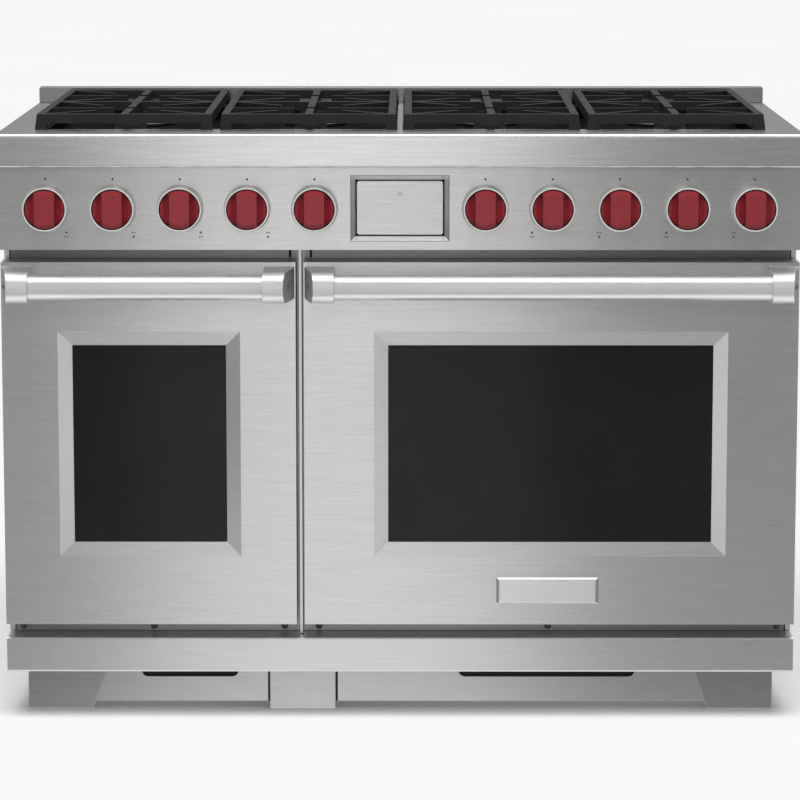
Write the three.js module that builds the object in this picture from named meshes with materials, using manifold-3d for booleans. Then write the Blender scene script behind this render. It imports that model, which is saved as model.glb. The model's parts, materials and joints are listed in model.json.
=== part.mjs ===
// Freestanding gas range, 48 inch class: two ovens side by side, four grates over eight burners,
// ten knobs and a display that turns over in the middle of the control panel.
// Millimetres. X runs to the right, Y runs from the front to the back, Z is up.
// The origin is on the floor, under the middle of the whole range.
import * as THREE from "three";
import { mergeVertices } from "three/addons/utils/BufferGeometryUtils.js";
import Module from "manifold-3d";

const wasm = await Module();
wasm.setup();

// ---------------------------------------------------------------- driving dimensions

// Overall
const WIDTH = 1216; // across the front rail
const DEPTH = 749; // from the front of the door handles to the back panel
const LEDGE_HEIGHT = 914; // from the floor to the stainless ledge round the grates
const SHEET = 2; // thickness of the stainless outer sheets
const FIT_GAP = 0.5; // left between pieces that touch
const BEND_RADIUS = 4; // outside of a bent sheet
const OVERRUN = 1; // how far a cutting solid runs past, or a joined one runs into, its neighbour

// Heights of the front, each stacked on the one before
const LEG_HEIGHT = 77;
const KICK_HEIGHT = 54.4;
const GAP_BELOW_DOORS = 22.8;
const GAP_ABOVE_DOORS = 21.4;
const PANEL_HEIGHT = 126.3;
const RAIL_HEIGHT = 50.2;

// How far each face stands behind the face of the front rail
const PANEL_SET_BACK = 19;
const DOOR_SET_BACK = 41;
const KICK_SET_BACK = 49;
const LEG_SET_BACK = 129;

// Doors
const LEFT_DOOR_WIDTH = 448.7;
const DOOR_SPACING = 11.9; // between the two doors
const DOOR_END_GAP = 0.4; // from a door's outer edge to the range's side
const DOOR_THICKNESS = 55;
const DOOR_TO_FRAME = 4; // back of the closed door to the oven frame
const DOOR_SKIN = 2.5;
const WINDOW_BEVEL = 22;
const WINDOW_RECESS = 7;
const WINDOW_MARGIN_UP = 106.1; // door edge to window bevel, above and below
const WINDOW_MARGIN_SIDE = { left: 85, right: 107 };
const GLASS_THICKNESS = 5;
const GLASS_OVERLAP = 10; // how far the glass runs behind its bevel
const PLUG_DEPTH = 22; // the liner's raised middle that enters the oven mouth
const PLUG_CLEARANCE = 5;

// Door handles
const HANDLE_DIAMETER = 38;
const HANDLE_DROP = 31.4; // handle axis below the top of the door
const HANDLE_REACH = 85.5; // door face to the front of the handle brackets
const BRACKET_WALL = 4.5; // metal round the bar
const BRACKET_INNER = 47.5; // door edge to the bracket's inner side
const BRACKET_OUTER_BACK = 1.7; // door edge to the bracket's outer side, at the door
const BRACKET_OUTER_FRONT = 16.7; // the same, at the front of the bracket
const SOCKET_DEPTH = 12;
const SOCKET_CLEARANCE = 0.4;

// Ovens
const OVEN_SIDE_WALL = 57.3; // door edge to oven mouth
const OVEN_BELOW = 61; // door bottom to oven floor
const OVEN_ABOVE = 76; // oven ceiling to door top
const OVEN_DEPTH = 500;
const LINER_WALL = 2;
const FRAME_THICKNESS = 3;
const STILE_WIDTH = 8;
const STILE_GAP = 1.5;
const RACK_THICKNESS = 6;
const RACK_DEPTH = 465;
const RACK_FRONT_GAP = 7; // from the closed door's liner to the rack
const RACK_SIDE_GAP = 2;
const RACK_BAR = 4;
const RACK_PITCH = 33;
const RACK_RIM = 7;
const RAIL_REACH = 10; // how far a rack rail stands in from the oven wall
const RAIL_THICKNESS = 6;
const RACK_RISES = { left: [195], right: [115, 268] }; // oven floor to the underside of each rack

// Control panel, knobs and display
const PANEL_THICKNESS = 3;
const PANEL_END_GAP = 1;
const PANEL_RETURN = 78; // how far its lower edge turns back
const KNOB_DIAMETER = 61;
const KNOB_REACH = 24;
const KNOB_GRIP_WIDTH = 30.5;
const KNOB_SCOOP = 11.5; // depth of the hollow on each side of the grip
const KNOB_STANDOFF = 0.6; // back of the knob to the panel
const KNOBS_PER_SIDE = 5;
const INNER_KNOB_X = 129;
const KNOB_END_MARGIN = 72.6; // outermost knob axis to the range's side
const SHAFT_DIAMETER = 8;
const SHAFT_LENGTH = 30;
const SHAFT_CLEARANCE = 0.6;
const DISPLAY_WIDTH = 131;
const DISPLAY_HEIGHT = 82;
const DISPLAY_THICKNESS = 12;
const DISPLAY_GAP = 2; // dark gap round the turning module
const DISPLAY_BEVEL = 6.7;
const DISPLAY_SET_BACK = 1; // inner end of the bevel to the module's face
const BEZEL_WALL = 2;
const TRUNNION_DIAMETER = 6;
const TRUNNION_CLEARANCE = 0.4;

// Cooktop
const RAIL_TOP_DEPTH = 84; // front rail's top surface
const RAIL_TOP_RADIUS = 6;
const RAIL_LIP_DEPTH = 40;
const GRATE_SET_BACK = 88;
const GRATE_SIDE_LEDGE = 51;
const GRATE_REAR_LEDGE = 26;
const GRATE_CENTRE_GAP = 7;
const GRATE_PAIR_GAP = 9.6;
const GRATE_HEIGHT = 23;
const GRATE_BAR_HEIGHT = 14;
const GRATE_BAR_WIDTH = 11.5;
const GRATE_FOOT = 18.5;
const GRATE_DRAFT = 3;
const FINGER_WIDTH = 8;
const BAR_TIP_RADIUS = 17; // burner's axis to the ends of the bars from front and back
const FINGER_TIP_RADIUS = 26; // burner's axis to the ends of the side fingers
const DIAGONAL_TIP_RADIUS = 72;
const COOKTOP_THICKNESS = 6;
const PAN_SEAT = 12; // how far the ledge runs under the grates
const CENTRE_STRIP = 30;
const PAN_WALL = 2;
const PAN_FLOOR_DROP = 24; // ledge to pan floor
const PAN_FLANGE = 8;
const BURNER_BASE_RADIUS = 52;
const BURNER_CAP_RADIUS = 25.5;
const BURNER_CAP_DROP = 4; // underside of the grate's fingers to the burner's cap
const BURNER_RIM_RISE = 5; // pan floor to the top of the base's edge
const BURNER_SHELF = { inset: 9, rise: 7.5 }; // where the base's flat top begins
const BURNER_SHOULDER = { outset: 14, rise: 10 }; // where the base steps up to the head
const BURNER_HEAD_RISE = 14;
const BURNER_CAP_EDGE = { inset: 3, drop: 3 };
const RISER_DEPTH = 36.5;
const RISER_HEIGHT = 25.4;

// Under the body
const KICK_LIP_DEPTH = 20;
const LEG_INSET = 24; // range's side to the leg's outer edge
const LEG_FOOT_WIDTH = 101.7;
const LEG_SLANT = 26.8; // how much wider the leg is at its top
const LEG_PLATE = 5.5;
const POST_WIDTH = 75;
const POST_DEPTH = 55;
const CENTRE_LEG_WIDTH = 103.6;
const TOE_RISE = 10.9;
const TOE_SLOT_RISE = 50;
const TOE_SLOT_HEIGHT = 20;
const TOE_SLOT_WIDTH = { left: 152, right: 276.6 };
const REAR_LEG_INSET = 62;
const REAR_LEG_RADIUS = 12;
const REAR_FOOT_RADIUS = 22;
const REAR_FOOT_RISE = 8;
const REAR_FOOT_SHOULDER = 12; // floor to where the foot meets the leg
const TOE_END_GAP = 10; // front leg's post to the end of the toe panel
const BASE_THICKNESS = 3;

// Gas inlet
const PIPE_RADIUS = 10.5;
const PIPE_INSET = 178; // range's side to the pipe's axis
const PIPE_DROP = 27;
const PIPE_RUN = 46;
const PIPE_THREAD = 0.5; // how much thinner the run is than the drop
const ELBOW_SWELL = 1.5;
const HEX_RADIUS = 15.75;
const HEX_LENGTH = 14;
const HEX_END = 4; // hexagon to the open end
const PIPE_WALL = 3;
const PIPE_BORE_DEPTH = 10;

// ---------------------------------------------------------------- places worked out from them

const FRAME_SET_BACK = DOOR_SET_BACK + DOOR_THICKNESS + DOOR_TO_FRAME;
const RAIL_Y = -DEPTH / 2 + HANDLE_REACH - DOOR_SET_BACK;
const PANEL_Y = RAIL_Y + PANEL_SET_BACK;
const DOOR_Y = RAIL_Y + DOOR_SET_BACK;
const KICK_Y = RAIL_Y + KICK_SET_BACK;
const FRAME_Y = RAIL_Y + FRAME_SET_BACK;
const LEG_Y = RAIL_Y + LEG_SET_BACK;
const BACK_Y = DEPTH / 2;
const LINER_Y = FRAME_Y + FRAME_THICKNESS + FIT_GAP;
const PLUG_BACK_Y = DOOR_Y + DOOR_THICKNESS + PLUG_DEPTH;

const KICK_TOP = LEG_HEIGHT + KICK_HEIGHT;
const DOOR_BOTTOM = KICK_TOP + GAP_BELOW_DOORS;
const RAIL_BOTTOM = LEDGE_HEIGHT - RAIL_HEIGHT;
const PANEL_BOTTOM = RAIL_BOTTOM - PANEL_HEIGHT;
const PANEL_MIDDLE = PANEL_BOTTOM + PANEL_HEIGHT / 2;
const DOOR_TOP = PANEL_BOTTOM - GAP_ABOVE_DOORS;
const DOOR_HEIGHT = DOOR_TOP - DOOR_BOTTOM;
const OVEN_FLOOR = DOOR_BOTTOM + OVEN_BELOW;
const OVEN_HEIGHT = DOOR_HEIGHT - OVEN_BELOW - OVEN_ABOVE;

const SIDE_X = WIDTH / 2;
const INSIDE_X = SIDE_X - SHEET - FIT_GAP;
const RIGHT_DOOR_WIDTH = WIDTH - 2 * DOOR_END_GAP - DOOR_SPACING - LEFT_DOOR_WIDTH;
const LEFT_DOOR_X = -SIDE_X + DOOR_END_GAP + LEFT_DOOR_WIDTH / 2;
const RIGHT_DOOR_X = SIDE_X - DOOR_END_GAP - RIGHT_DOOR_WIDTH / 2;
const MULLION_X = LEFT_DOOR_X + LEFT_DOOR_WIDTH / 2 + DOOR_SPACING / 2;
const OVENS = [
  { side: "left", x: LEFT_DOOR_X, doorWidth: LEFT_DOOR_WIDTH },
  { side: "right", x: RIGHT_DOOR_X, doorWidth: RIGHT_DOOR_WIDTH },
].map((oven) => ({ ...oven, mouthWidth: oven.doorWidth - 2 * OVEN_SIDE_WALL }));

const KNOB_PITCH = (SIDE_X - KNOB_END_MARGIN - INNER_KNOB_X) / (KNOBS_PER_SIDE - 1);

const RISER_Y = BACK_Y - RISER_DEPTH;
const GRATE_Y = RAIL_Y + GRATE_SET_BACK;
const GRATE_DEPTH = RISER_Y - GRATE_REAR_LEDGE - GRATE_Y;
const GRATES_WIDTH = WIDTH - 2 * GRATE_SIDE_LEDGE - GRATE_CENTRE_GAP - 2 * GRATE_PAIR_GAP;
const GRATE_WIDTH = GRATES_WIDTH / 4;
const INNER_GRATE_X = GRATE_CENTRE_GAP / 2 + GRATE_WIDTH / 2;
const OUTER_GRATE_X = INNER_GRATE_X + GRATE_WIDTH + GRATE_PAIR_GAP;
const GRATE_COLUMNS = [-OUTER_GRATE_X, -INNER_GRATE_X, INNER_GRATE_X, OUTER_GRATE_X];
const BURNER_ROWS = [GRATE_Y + GRATE_DEPTH / 4, GRATE_Y + (GRATE_DEPTH * 3) / 4];
const COOKTOP_BOTTOM = LEDGE_HEIGHT - COOKTOP_THICKNESS;
const PAN_FLOOR = LEDGE_HEIGHT - PAN_FLOOR_DROP;
const FINGERS_UNDER = LEDGE_HEIGHT + FIT_GAP + GRATE_HEIGHT - GRATE_BAR_HEIGHT;
const BURNER_HEIGHT = FINGERS_UNDER - BURNER_CAP_DROP - PAN_FLOOR - FIT_GAP;

// ---------------------------------------------------------------- finishes

const STEEL = { color: 0xb4b3b1, roughness: 0.32, metalness: 1 };
const DARK_STEEL = { color: 0x77777a, roughness: 0.5, metalness: 0.9 };
const CHROME = { color: 0xd2d2d2, roughness: 0.15, metalness: 1 };
const BLACK_ENAMEL = { color: 0x161617, roughness: 0.25, metalness: 0 };
const BLUE_ENAMEL = { color: 0x1d2733, roughness: 0.3, metalness: 0 };
const CAST_IRON = { color: 0x2b2b2c, roughness: 0.75, metalness: 0.2 };
const RED_PLASTIC = { color: 0x86232a, roughness: 0.28, metalness: 0 };
const GLASS = { color: 0x1e1f20, roughness: 0.05, metalness: 0 };
const ALUMINIUM = { color: 0x8f8f8d, roughness: 0.5, metalness: 0.9 };
const BRASS = { color: 0xb08d4a, roughness: 0.35, metalness: 1 };

// ---------------------------------------------------------------- shape helpers

const X_AXIS = new THREE.Vector3(1, 0, 0);
const Y_AXIS = new THREE.Vector3(0, 1, 0);
const Z_AXIS = new THREE.Vector3(0, 0, 1);

function around(middle, size) {
  return [middle - size / 2, middle + size / 2];
}

function block([x0, x1], [y0, y1], [z0, z1]) {
  const box = new THREE.BoxGeometry(x1 - x0, y1 - y0, z1 - z0);
  return box.translate((x0 + x1) / 2, (y0 + y1) / 2, (z0 + z1) / 2);
}

// A cylinder along Y, from its front to its back.
function rodAlongY(radius, [y0, y1], sides, x = 0, z = 0) {
  const rod = new THREE.CylinderGeometry(radius, radius, y1 - y0, sides);
  return rod.translate(x, (y0 + y1) / 2, z);
}

// A cylinder along X.
function rodAlongX(radius, [x0, x1], sides, y = 0, z = 0) {
  const rod = new THREE.CylinderGeometry(radius, radius, x1 - x0, sides);
  return rod.rotateZ(-Math.PI / 2).translate((x0 + x1) / 2, y, z);
}

// A side view, drawn with Y to the right and Z up, stretched along X.
function alongX(shape, [x0, x1], curveSegments = 6) {
  const options = { depth: x1 - x0, bevelEnabled: false, curveSegments };
  const turned = new THREE.Matrix4().makeBasis(Y_AXIS, Z_AXIS, X_AXIS);
  return new THREE.ExtrudeGeometry(shape, options).applyMatrix4(turned).translate(x0, 0, 0);
}

// A front view, drawn with X to the right and Z up, stretched along Y.
function alongY(shape, [y0, y1], curveSegments = 6) {
  const options = { depth: y1 - y0, bevelEnabled: false, curveSegments };
  const turned = new THREE.Matrix4().makeBasis(X_AXIS, Z_AXIS, Y_AXIS.clone().negate());
  return new THREE.ExtrudeGeometry(shape, options).applyMatrix4(turned).translate(0, y1, 0);
}

function outline(points) {
  return new THREE.Shape(points.map(([across, up]) => new THREE.Vector2(across, up)));
}

function reshaped(geometry, move) {
  const corners = geometry.getAttribute("position");
  const point = new THREE.Vector3();
  for (let i = 0; i < corners.count; i++) {
    point.fromBufferAttribute(corners, i);
    move(point);
    corners.setXYZ(i, point.x, point.y, point.z);
  }
  return geometry;
}

function solidOf(geometry) {
  const bare = geometry.clone();
  bare.deleteAttribute("normal");
  bare.deleteAttribute("uv");
  const merged = mergeVertices(bare, 1e-3);
  const vertProperties = merged.getAttribute("position").array;
  const triVerts = new Uint32Array(merged.index.array);
  return new wasm.Manifold(new wasm.Mesh({ numProp: 3, vertProperties, triVerts }));
}

function geometryOf(solid) {
  const mesh = solid.getMesh();
  const geometry = new THREE.BufferGeometry();
  const corners = new THREE.BufferAttribute(new Float32Array(mesh.vertProperties), mesh.numProp);
  geometry.setAttribute("position", corners);
  geometry.setIndex(new THREE.BufferAttribute(mesh.triVerts, 1));
  return geometry;
}

function joined(...geometries) {
  return geometryOf(geometries.map(solidOf).reduce((sum, one) => sum.add(one)));
}

function cut(geometry, ...tools) {
  return geometryOf(tools.map(solidOf).reduce((rest, tool) => rest.subtract(tool), solidOf(geometry)));
}

function addPart(group, name, geometry, finish) {
  const mesh = new THREE.Mesh(geometry, new THREE.MeshStandardMaterial(finish));
  mesh.name = name;
  group.add(mesh);
  return mesh;
}

// A rail bent from one sheet, with its top turned back, a lip turned back below and closed ends.
function bentRail({ height, topDepth, lipDepth, topRadius, lipRadius }, [x0, x1]) {
  const outside = new THREE.Shape();
  outside.moveTo(topDepth, 0);
  outside.lineTo(lipRadius, 0);
  outside.absarc(lipRadius, lipRadius, lipRadius, -Math.PI / 2, -Math.PI, true);
  outside.lineTo(0, height - topRadius);
  outside.absarc(topRadius, height - topRadius, topRadius, Math.PI, Math.PI / 2, true);
  outside.lineTo(topDepth, height);
  const hollow = new THREE.Shape();
  hollow.moveTo(lipDepth, SHEET);
  hollow.lineTo(lipRadius, SHEET);
  hollow.absarc(lipRadius, lipRadius, lipRadius - SHEET, -Math.PI / 2, -Math.PI, true);
  hollow.lineTo(SHEET, height - topRadius);
  hollow.absarc(topRadius, height - topRadius, topRadius - SHEET, Math.PI, Math.PI / 2, true);
  hollow.lineTo(topDepth + OVERRUN, height - SHEET);
  hollow.lineTo(topDepth + OVERRUN, -OVERRUN);
  hollow.lineTo(lipDepth, -OVERRUN);
  return cut(alongX(outside, [x0, x1]), alongX(hollow, [x0 + SHEET, x1 - SHEET]));
}

// ---------------------------------------------------------------- body

function makeFrontRail(group) {
  const sizes = {
    height: RAIL_HEIGHT,
    topDepth: RAIL_TOP_DEPTH,
    lipDepth: RAIL_LIP_DEPTH,
    topRadius: RAIL_TOP_RADIUS,
    lipRadius: BEND_RADIUS,
  };
  const rail = bentRail(sizes, [-SIDE_X, SIDE_X]);
  addPart(group, "front_rail", rail, STEEL).position.set(0, RAIL_Y, RAIL_BOTTOM);
}

function makeKickplate(group) {
  const sizes = {
    height: KICK_HEIGHT,
    topDepth: FRAME_SET_BACK + FRAME_THICKNESS - KICK_SET_BACK,
    lipDepth: KICK_LIP_DEPTH,
    topRadius: BEND_RADIUS,
    lipRadius: BEND_RADIUS,
  };
  const kickplate = bentRail(sizes, [-SIDE_X, SIDE_X]);
  addPart(group, "kickplate", kickplate, STEEL).position.set(0, KICK_Y, LEG_HEIGHT);
}

// One sheet per side, stepped forward beside the control panel, with a narrow stile turned in
// beside the oven frame.
function makeSidePanels(group) {
  const frontLow = RAIL_Y + FRAME_SET_BACK + FRAME_THICKNESS + FIT_GAP;
  const frontHigh = PANEL_Y + PANEL_THICKNESS + FIT_GAP;
  const underRail = RAIL_BOTTOM - FIT_GAP;
  const top = COOKTOP_BOTTOM - FIT_GAP;
  const back = BACK_Y - SHEET - FIT_GAP;
  const behindRail = RAIL_Y + RAIL_TOP_DEPTH + FIT_GAP;
  const side = outline([
    [frontLow, LEG_HEIGHT + FIT_GAP],
    [back, LEG_HEIGHT + FIT_GAP],
    [back, top],
    [behindRail, top],
    [behindRail, underRail],
    [frontHigh, underRail],
    [frontHigh, PANEL_BOTTOM],
    [frontLow, PANEL_BOTTOM],
  ]);
  const stileUp = [KICK_TOP + FIT_GAP, PANEL_BOTTOM + SHEET];
  const stileBack = [FRAME_Y, frontLow + SHEET];
  for (const [name, sign] of [["left", -1], ["right", 1]]) {
    const sheet = alongX(side, sign < 0 ? [-SIDE_X, -SIDE_X + SHEET] : [SIDE_X - SHEET, SIDE_X]);
    const stileAcross = sign < 0 ? [-SIDE_X, STILE_WIDTH - SIDE_X] : [SIDE_X - STILE_WIDTH, SIDE_X];
    const stile = block(stileAcross, stileBack, stileUp);
    addPart(group, "side_panel_" + name, joined(sheet, stile), STEEL);
  }
}

function makeBackAndBase(group) {
  const up = [LEG_HEIGHT + FIT_GAP, LEDGE_HEIGHT];
  const back = block([-SIDE_X, SIDE_X], [BACK_Y - SHEET, BACK_Y], up);
  addPart(group, "back_panel", back, DARK_STEEL);
  const baseBack = BACK_Y - SHEET - FIT_GAP;
  const base = block(
    [-INSIDE_X, INSIDE_X],
    [FRAME_Y + FRAME_THICKNESS + FIT_GAP, baseBack],
    [LEG_HEIGHT + FIT_GAP, LEG_HEIGHT + FIT_GAP + BASE_THICKNESS],
  );
  addPart(group, "base_pan", base, DARK_STEEL);
}

function mouthOf(oven, inset, [y0, y1]) {
  return block(
    around(oven.x, oven.mouthWidth - 2 * inset),
    [y0, y1],
    [OVEN_FLOOR + inset, OVEN_FLOOR + OVEN_HEIGHT - inset],
  );
}

function makeFrontFrame(group) {
  const inner = SIDE_X - STILE_WIDTH - STILE_GAP;
  const through = [FRAME_Y - OVERRUN, FRAME_Y + FRAME_THICKNESS + OVERRUN];
  const plate = block(
    [-inner, inner],
    [FRAME_Y, FRAME_Y + FRAME_THICKNESS],
    [KICK_TOP + FIT_GAP, PANEL_BOTTOM - FIT_GAP],
  );
  const frame = cut(plate, ...OVENS.map((oven) => mouthOf(oven, 0, through)));
  addPart(group, "front_frame", frame, STEEL);
}

function makeOvenLiners(group) {
  for (const oven of OVENS) {
    const back = LINER_Y + OVEN_DEPTH;
    const shell = cut(
      mouthOf(oven, -LINER_WALL, [LINER_Y, back + LINER_WALL]),
      mouthOf(oven, 0, [LINER_Y - OVERRUN, back]),
    );
    const rails = [];
    for (const rise of RACK_RISES[oven.side]) {
      const top = OVEN_FLOOR + rise - FIT_GAP;
      for (const sign of [-1, 1]) {
        const wall = oven.x + (sign * oven.mouthWidth) / 2;
        const reach = [wall - sign * RAIL_REACH, wall + (sign * LINER_WALL) / 2];
        reach.sort((a, b) => a - b);
        const along = [PLUG_BACK_Y + RACK_FRONT_GAP, back + OVERRUN];
        rails.push(block(reach, along, [top - RAIL_THICKNESS, top]));
      }
    }
    addPart(group, "oven_liner_" + oven.side, joined(shell, ...rails), BLUE_ENAMEL);
  }
}

// A rack is a rim, a bar across its middle and bars from front to back.
function rackGeometry(width) {
  const slots = Math.round((width - 2 * RACK_RIM) / RACK_PITCH);
  const pitch = (width - 2 * RACK_RIM + RACK_BAR) / slots;
  const rows = [
    [RACK_RIM, RACK_DEPTH / 2 - RACK_BAR / 2],
    [RACK_DEPTH / 2 + RACK_BAR / 2, RACK_DEPTH - RACK_RIM],
  ];
  const holes = [];
  for (let i = 0; i < slots; i++) {
    const left = -width / 2 + RACK_RIM + i * pitch;
    for (const row of rows) {
      holes.push(block([left, left + pitch - RACK_BAR], row, [-OVERRUN, RACK_THICKNESS + OVERRUN]));
    }
  }
  return cut(block(around(0, width), [0, RACK_DEPTH], [0, RACK_THICKNESS]), ...holes);
}

function makeRacks(group) {
  for (const oven of OVENS) {
    const rack = rackGeometry(oven.mouthWidth - 2 * RACK_SIDE_GAP);
    RACK_RISES[oven.side].forEach((rise, i) => {
      const mesh = addPart(group, "oven_rack_" + oven.side + "_" + (i + 1), rack, CHROME);
      mesh.position.set(oven.x, PLUG_BACK_Y + RACK_FRONT_GAP, OVEN_FLOOR + rise);
    });
  }
}

// ---------------------------------------------------------------- doors
// A door's own frame: X from its middle, Y back from its face, Z up from its bottom edge.

function windowOf(oven, inset, [y0, y1]) {
  const width = oven.doorWidth - 2 * WINDOW_MARGIN_SIDE[oven.side] - 2 * inset;
  return block(
    around(0, width),
    [y0, y1],
    [WINDOW_MARGIN_UP + inset, DOOR_HEIGHT - WINDOW_MARGIN_UP - inset],
  );
}

// A hole with sloping sides, from the bevel's outer edge down to the glass.
function windowBevel(oven) {
  const middle = DOOR_HEIGHT / 2;
  const slope = WINDOW_BEVEL / WINDOW_RECESS;
  return reshaped(windowOf(oven, 0, [-OVERRUN, WINDOW_RECESS]), (point) => {
    const inset = point.y > 0 ? WINDOW_BEVEL : -OVERRUN * slope;
    point.x -= Math.sign(point.x) * inset;
    point.z -= Math.sign(point.z - middle) * inset;
  });
}

function makeDoorPanel(door, oven) {
  const skinBack = DOOR_THICKNESS - FRAME_THICKNESS - FIT_GAP;
  const lip = WINDOW_RECESS + FIT_GAP;
  const full = block(around(0, oven.doorWidth), [0, skinBack], [0, DOOR_HEIGHT]);
  const pocket = block(
    around(0, oven.doorWidth - 2 * DOOR_SKIN),
    [DOOR_SKIN, skinBack + OVERRUN],
    [DOOR_SKIN, DOOR_HEIGHT - DOOR_SKIN],
  );
  const surround = windowOf(oven, -GLASS_OVERLAP, [DOOR_SKIN / 2, lip]);
  const opening = windowOf(oven, WINDOW_BEVEL, [-OVERRUN, lip + OVERRUN]);
  const skin = joined(cut(full, pocket), surround);
  addPart(door, "door_" + oven.side + "_panel", cut(skin, windowBevel(oven), opening), STEEL);
}

function makeDoorGlass(door, oven) {
  const front = WINDOW_RECESS + 2 * FIT_GAP;
  const glass = windowOf(oven, WINDOW_BEVEL - GLASS_OVERLAP, [front, front + GLASS_THICKNESS]);
  addPart(door, "door_" + oven.side + "_glass", glass, GLASS);
}

// The inner liner: a plate over the back of the door, with a hollow plug and an inner window.
function makeDoorLiner(door, oven) {
  const plateFront = DOOR_THICKNESS - FRAME_THICKNESS;
  const plugBack = DOOR_THICKNESS + PLUG_DEPTH;
  const plugUp = (inset) => [OVEN_BELOW + inset, OVEN_BELOW + OVEN_HEIGHT - inset];
  const plugAcross = (inset) => around(0, oven.mouthWidth - 2 * inset);
  const hollow = PLUG_CLEARANCE + DOOR_SKIN;
  const plate = block(around(0, oven.doorWidth), [plateFront, DOOR_THICKNESS], [0, DOOR_HEIGHT]);
  const plug = block(
    plugAcross(PLUG_CLEARANCE),
    [DOOR_THICKNESS - OVERRUN, plugBack],
    plugUp(PLUG_CLEARANCE),
  );
  const pocketAlong = [plateFront - OVERRUN, plugBack - DOOR_SKIN];
  const pocket = block(plugAcross(hollow), pocketAlong, plugUp(hollow));
  const opening = windowOf(oven, WINDOW_BEVEL, [plateFront - OVERRUN, plugBack + OVERRUN]);
  const liner = cut(joined(plate, plug), pocket, opening);
  addPart(door, "door_" + oven.side + "_liner", liner, BLUE_ENAMEL);
}

// The side view of a bracket: flat above and below, round in front.
function bracketGeometry(side) {
  const radius = HANDLE_DIAMETER / 2 + BRACKET_WALL;
  const barY = radius - HANDLE_REACH;
  const profile = new THREE.Shape();
  profile.moveTo(-FIT_GAP, -radius);
  profile.lineTo(-FIT_GAP, radius);
  profile.lineTo(barY, radius);
  profile.absarc(barY, 0, radius, Math.PI / 2, Math.PI * 1.5, false);
  const bracket = alongX(profile, [BRACKET_OUTER_BACK, BRACKET_INNER], 10);
  const slant = (BRACKET_OUTER_FRONT - BRACKET_OUTER_BACK) / HANDLE_REACH;
  reshaped(bracket, (point) => {
    if (point.x < BRACKET_INNER - OVERRUN) point.x -= point.y * slant;
  });
  const socketClearance = HANDLE_DIAMETER / 2 + SOCKET_CLEARANCE;
  const socket = [BRACKET_INNER - SOCKET_DEPTH, BRACKET_INNER + OVERRUN];
  const made = cut(bracket, rodAlongX(socketClearance, socket, 24, barY));
  if (side < 0) return made;
  const mirrored = reshaped(made, (point) => point.setX(-point.x));
  const corners = mirrored.index.array;
  for (let i = 0; i < corners.length; i += 3) {
    [corners[i + 1], corners[i + 2]] = [corners[i + 2], corners[i + 1]];
  }
  return mirrored;
}

function makeHandle(door, oven) {
  const axisUp = DOOR_HEIGHT - HANDLE_DROP;
  const barY = HANDLE_DIAMETER / 2 + BRACKET_WALL - HANDLE_REACH;
  const name = "door_" + oven.side + "_handle";
  const barLength = oven.doorWidth - 2 * (BRACKET_INNER - SOCKET_DEPTH + FIT_GAP);
  const bar = rodAlongX(HANDLE_DIAMETER / 2, around(0, barLength), 24, barY);
  addPart(door, name + "_bar", bar, STEEL).position.z = axisUp;
  for (const [end, sign] of [["left", -1], ["right", 1]]) {
    const bracket = addPart(door, name + "_bracket_" + end, bracketGeometry(sign), STEEL);
    bracket.position.set((sign * oven.doorWidth) / 2, 0, axisUp);
  }
}

function makeDoors(group) {
  for (const oven of OVENS) {
    const door = new THREE.Group();
    door.position.set(oven.x, DOOR_Y, DOOR_BOTTOM);
    makeDoorPanel(door, oven);
    makeDoorGlass(door, oven);
    makeDoorLiner(door, oven);
    makeHandle(door, oven);
    group.add(door);
  }
}

// ---------------------------------------------------------------- control panel

const DISPLAY_OPENING = {
  width: DISPLAY_WIDTH + 2 * DISPLAY_GAP,
  height: DISPLAY_HEIGHT + 2 * DISPLAY_GAP,
};
const DISPLAY_AXIS_Y = DISPLAY_BEVEL + DISPLAY_SET_BACK + DISPLAY_THICKNESS / 2; // behind the panel
const DISPLAY_SWING = Math.hypot(DISPLAY_HEIGHT, DISPLAY_THICKNESS) / 2;

function knobPlaces() {
  const places = [];
  for (let i = 0; i < KNOBS_PER_SIDE; i++) {
    const x = INNER_KNOB_X + i * KNOB_PITCH;
    places.push(-x, x);
  }
  return places.sort((a, b) => a - b);
}

// A rectangle of the display opening, grown on all four sides, in front view about the panel's middle.
function displayBlock(grow, [y0, y1]) {
  return block(
    around(0, DISPLAY_OPENING.width + 2 * grow),
    [y0, y1],
    around(0, DISPLAY_OPENING.height + 2 * grow),
  );
}

function makeControlPanel(group) {
  const half = SIDE_X - PANEL_END_GAP;
  const up = [-PANEL_HEIGHT / 2, PANEL_HEIGHT / 2 - FIT_GAP];
  const plate = block([-half, half], [0, PANEL_THICKNESS], up);
  const turnedBack = block([-INSIDE_X, INSIDE_X], [OVERRUN, PANEL_RETURN], [up[0], up[0] + SHEET]);
  const holeRadius = SHAFT_DIAMETER / 2 + SHAFT_CLEARANCE;
  const through = [-OVERRUN, PANEL_THICKNESS + OVERRUN];
  const holes = knobPlaces().map((x) => rodAlongY(holeRadius, through, 12, x));
  const opening = displayBlock(DISPLAY_BEVEL + FIT_GAP, through);
  const panel = cut(joined(plate, turnedBack), opening, ...holes);
  addPart(group, "control_panel", panel, STEEL);
}

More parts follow.
